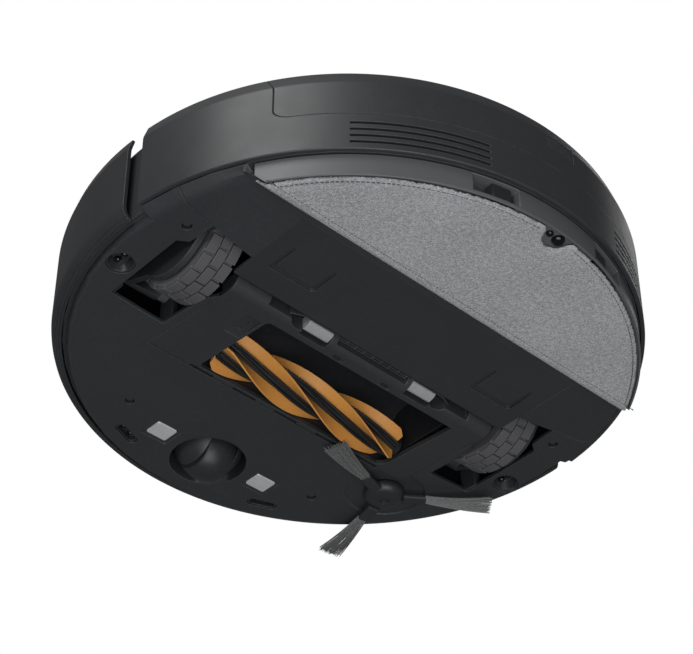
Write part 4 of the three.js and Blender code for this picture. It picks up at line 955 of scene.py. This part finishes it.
tag_cut = carved(drum(-1, 166, 7.9, -2, 20, 48), box(-11.4, 9.4, 166, 182, -2, 20), how="UNION")
disc_low = [(0, 0.35), (168.2, 0.35), (168.9, 0.9), (PAD["r"], 1.8), (PAD["r"], 7.2), (0, 7.2)]
fabric = carved(turned(disc_low, steps=300), behind_bevel(0.5), how="INTERSECT")
over = turned([(0, PAD["inside"]), (190, PAD["inside"]), (190, 20), (0, 20)], steps=32)
over = carved(over, behind_bevel(2.4), how="INTERSECT")
fabric = carved(fabric, over, tag_cut)
fabric.transform(Matrix.Scale(MM, 4))
swelling = bpy.data.objects.new("swelling", as_mesh(fabric))
scene.collection.objects.link(swelling)
remesh = swelling.modifiers.new("remesh", "REMESH")
remesh.mode, remesh.voxel_size = "VOXEL", PUFF["voxel"]
bpy.context.view_layer.update()
start = bpy.data.meshes.new_from_object(swelling.evaluated_get(bpy.context.evaluated_depsgraph_get()))
swelling.modifiers.remove(remesh)
swelling.data = start
at_rest = [v.co.copy() for v in start.vertices]
settled = at_rest
cloth = swelling.modifiers.new("cloth", "CLOTH")
cloth.settings.quality = 4
cloth.settings.mass = 0.2
cloth.settings.use_pressure = True
cloth.settings.uniform_pressure_force = PUFF["pressure"]
cloth.settings.effector_weights.gravity = 0
cloth.point_cache.frame_start, cloth.point_cache.frame_end = 1, PUFF["frames"]
for moment in range(1, PUFF["frames"] + 1):
    scene.frame_set(moment)
swollen = swelling.evaluated_get(bpy.context.evaluated_depsgraph_get()).data
settled = [v.co.copy() for v in swollen.vertices]
swelling.modifiers.remove(cloth)
scene.frame_set(1)
pile = bmesh.new()
pile.from_mesh(start)
bpy.data.objects.remove(swelling)
for vertex, old, new in zip(pile.verts, at_rest, settled):
    step = new - old
    if step.length > PUFF["most"]:
        step *= PUFF["most"] / step.length
    vertex.co = old + step
    vertex.co.z = max(vertex.co.z, 0.00005)
pile.transform(Matrix.Scale(1 / MM, 4))

terry, tree, surface = blank("microfibre_terry")
where = put(tree, "ShaderNodeTexCoord").outputs["Object"]
loops = put(tree, "ShaderNodeTexVoronoi", {"Vector": where, "Scale": 1350.0, "Randomness": 1.0})
fuzz = put(tree, "ShaderNodeTexNoise", {"Vector": where, "Scale": 2600.0, "Detail": 3.0})
tufts = put(tree, "ShaderNodeTexNoise", {"Vector": where, "Scale": 420.0, "Detail": 3.0})
worn_patch = put(tree, "ShaderNodeTexNoise", {"Vector": where, "Scale": 22.0, "Detail": 4.0})
height = sums(tree, "SUBTRACT", 1.0, loops.outputs["Distance"])
height = sums(tree, "ADD", height, sums(tree, "MULTIPLY", fuzz.outputs["Fac"], 0.4))
height = sums(tree, "ADD", height, sums(tree, "MULTIPLY", tufts.outputs["Fac"], 0.9))
# The pile is painted darker where its loops and tufts are low and lighter where they stand high: painted
# shade in the hollows of the weave, then scaled by random faded patches.
shade = between(tree, spread(tree, height, 0.9, 1.75, 0, 1), linear("9a9c9f"), linear("dcdee0"))
faded = spread(tree, worn_patch.outputs["Fac"], 0.3, 0.7, 0.92, 1.08)
shaded_cloth_tone = put(tree, "ShaderNodeVectorMath", {0: shade, "Scale": faded}, operation="SCALE")
tree.links.new(shaded_cloth_tone.outputs["Vector"], surface.inputs["Base Color"])
tree.links.new(spread(tree, fuzz.outputs["Fac"], 0, 1, 0.85, 1.0), surface.inputs["Roughness"])
nap = put(tree, "ShaderNodeBump", {"Strength": 0.9, "Distance": 0.0006, "Height": height})
tree.links.new(nap.outputs["Normal"], surface.inputs["Normal"])
surface.inputs["Sheen Weight"].default_value = 0.15
surface.inputs["Sheen Roughness"].default_value = 0.5
pad = show("microfibre_pad", pile, terry, "mop", ["mop_pad"], sharp=60)

thread = moulded("hem_thread", "5c5e60", "8c8e90", rough=0.8, grain=3000.0, depth=0.00008, edge=0.0002)
SEAM = {"r": 166.4, "pitch": 2.4, "straight": 60, "round": 118, "tag": 13}
stitches = []
for k in range(-SEAM["straight"], SEAM["straight"] + 1):
    stitches.append(box(k * SEAM["pitch"] - 0.8, k * SEAM["pitch"] + 0.8, 94.2, 94.65, 0.02, 0.6))
half_arc = math.degrees(math.acos(96 / SEAM["r"]))
for k in range(SEAM["round"] + 1):
    turn = -half_arc + 2 * half_arc * k / SEAM["round"]
    x = SEAM["r"] * math.sin(math.radians(turn))
    if abs(x + 1) > SEAM["tag"]:
        stitches.append(moved(box(-0.9, 0.9, 166.2, 166.65, 0.02, 0.7), turn=-turn))
show("hem_stitches", joined(*stitches), thread, "mop")
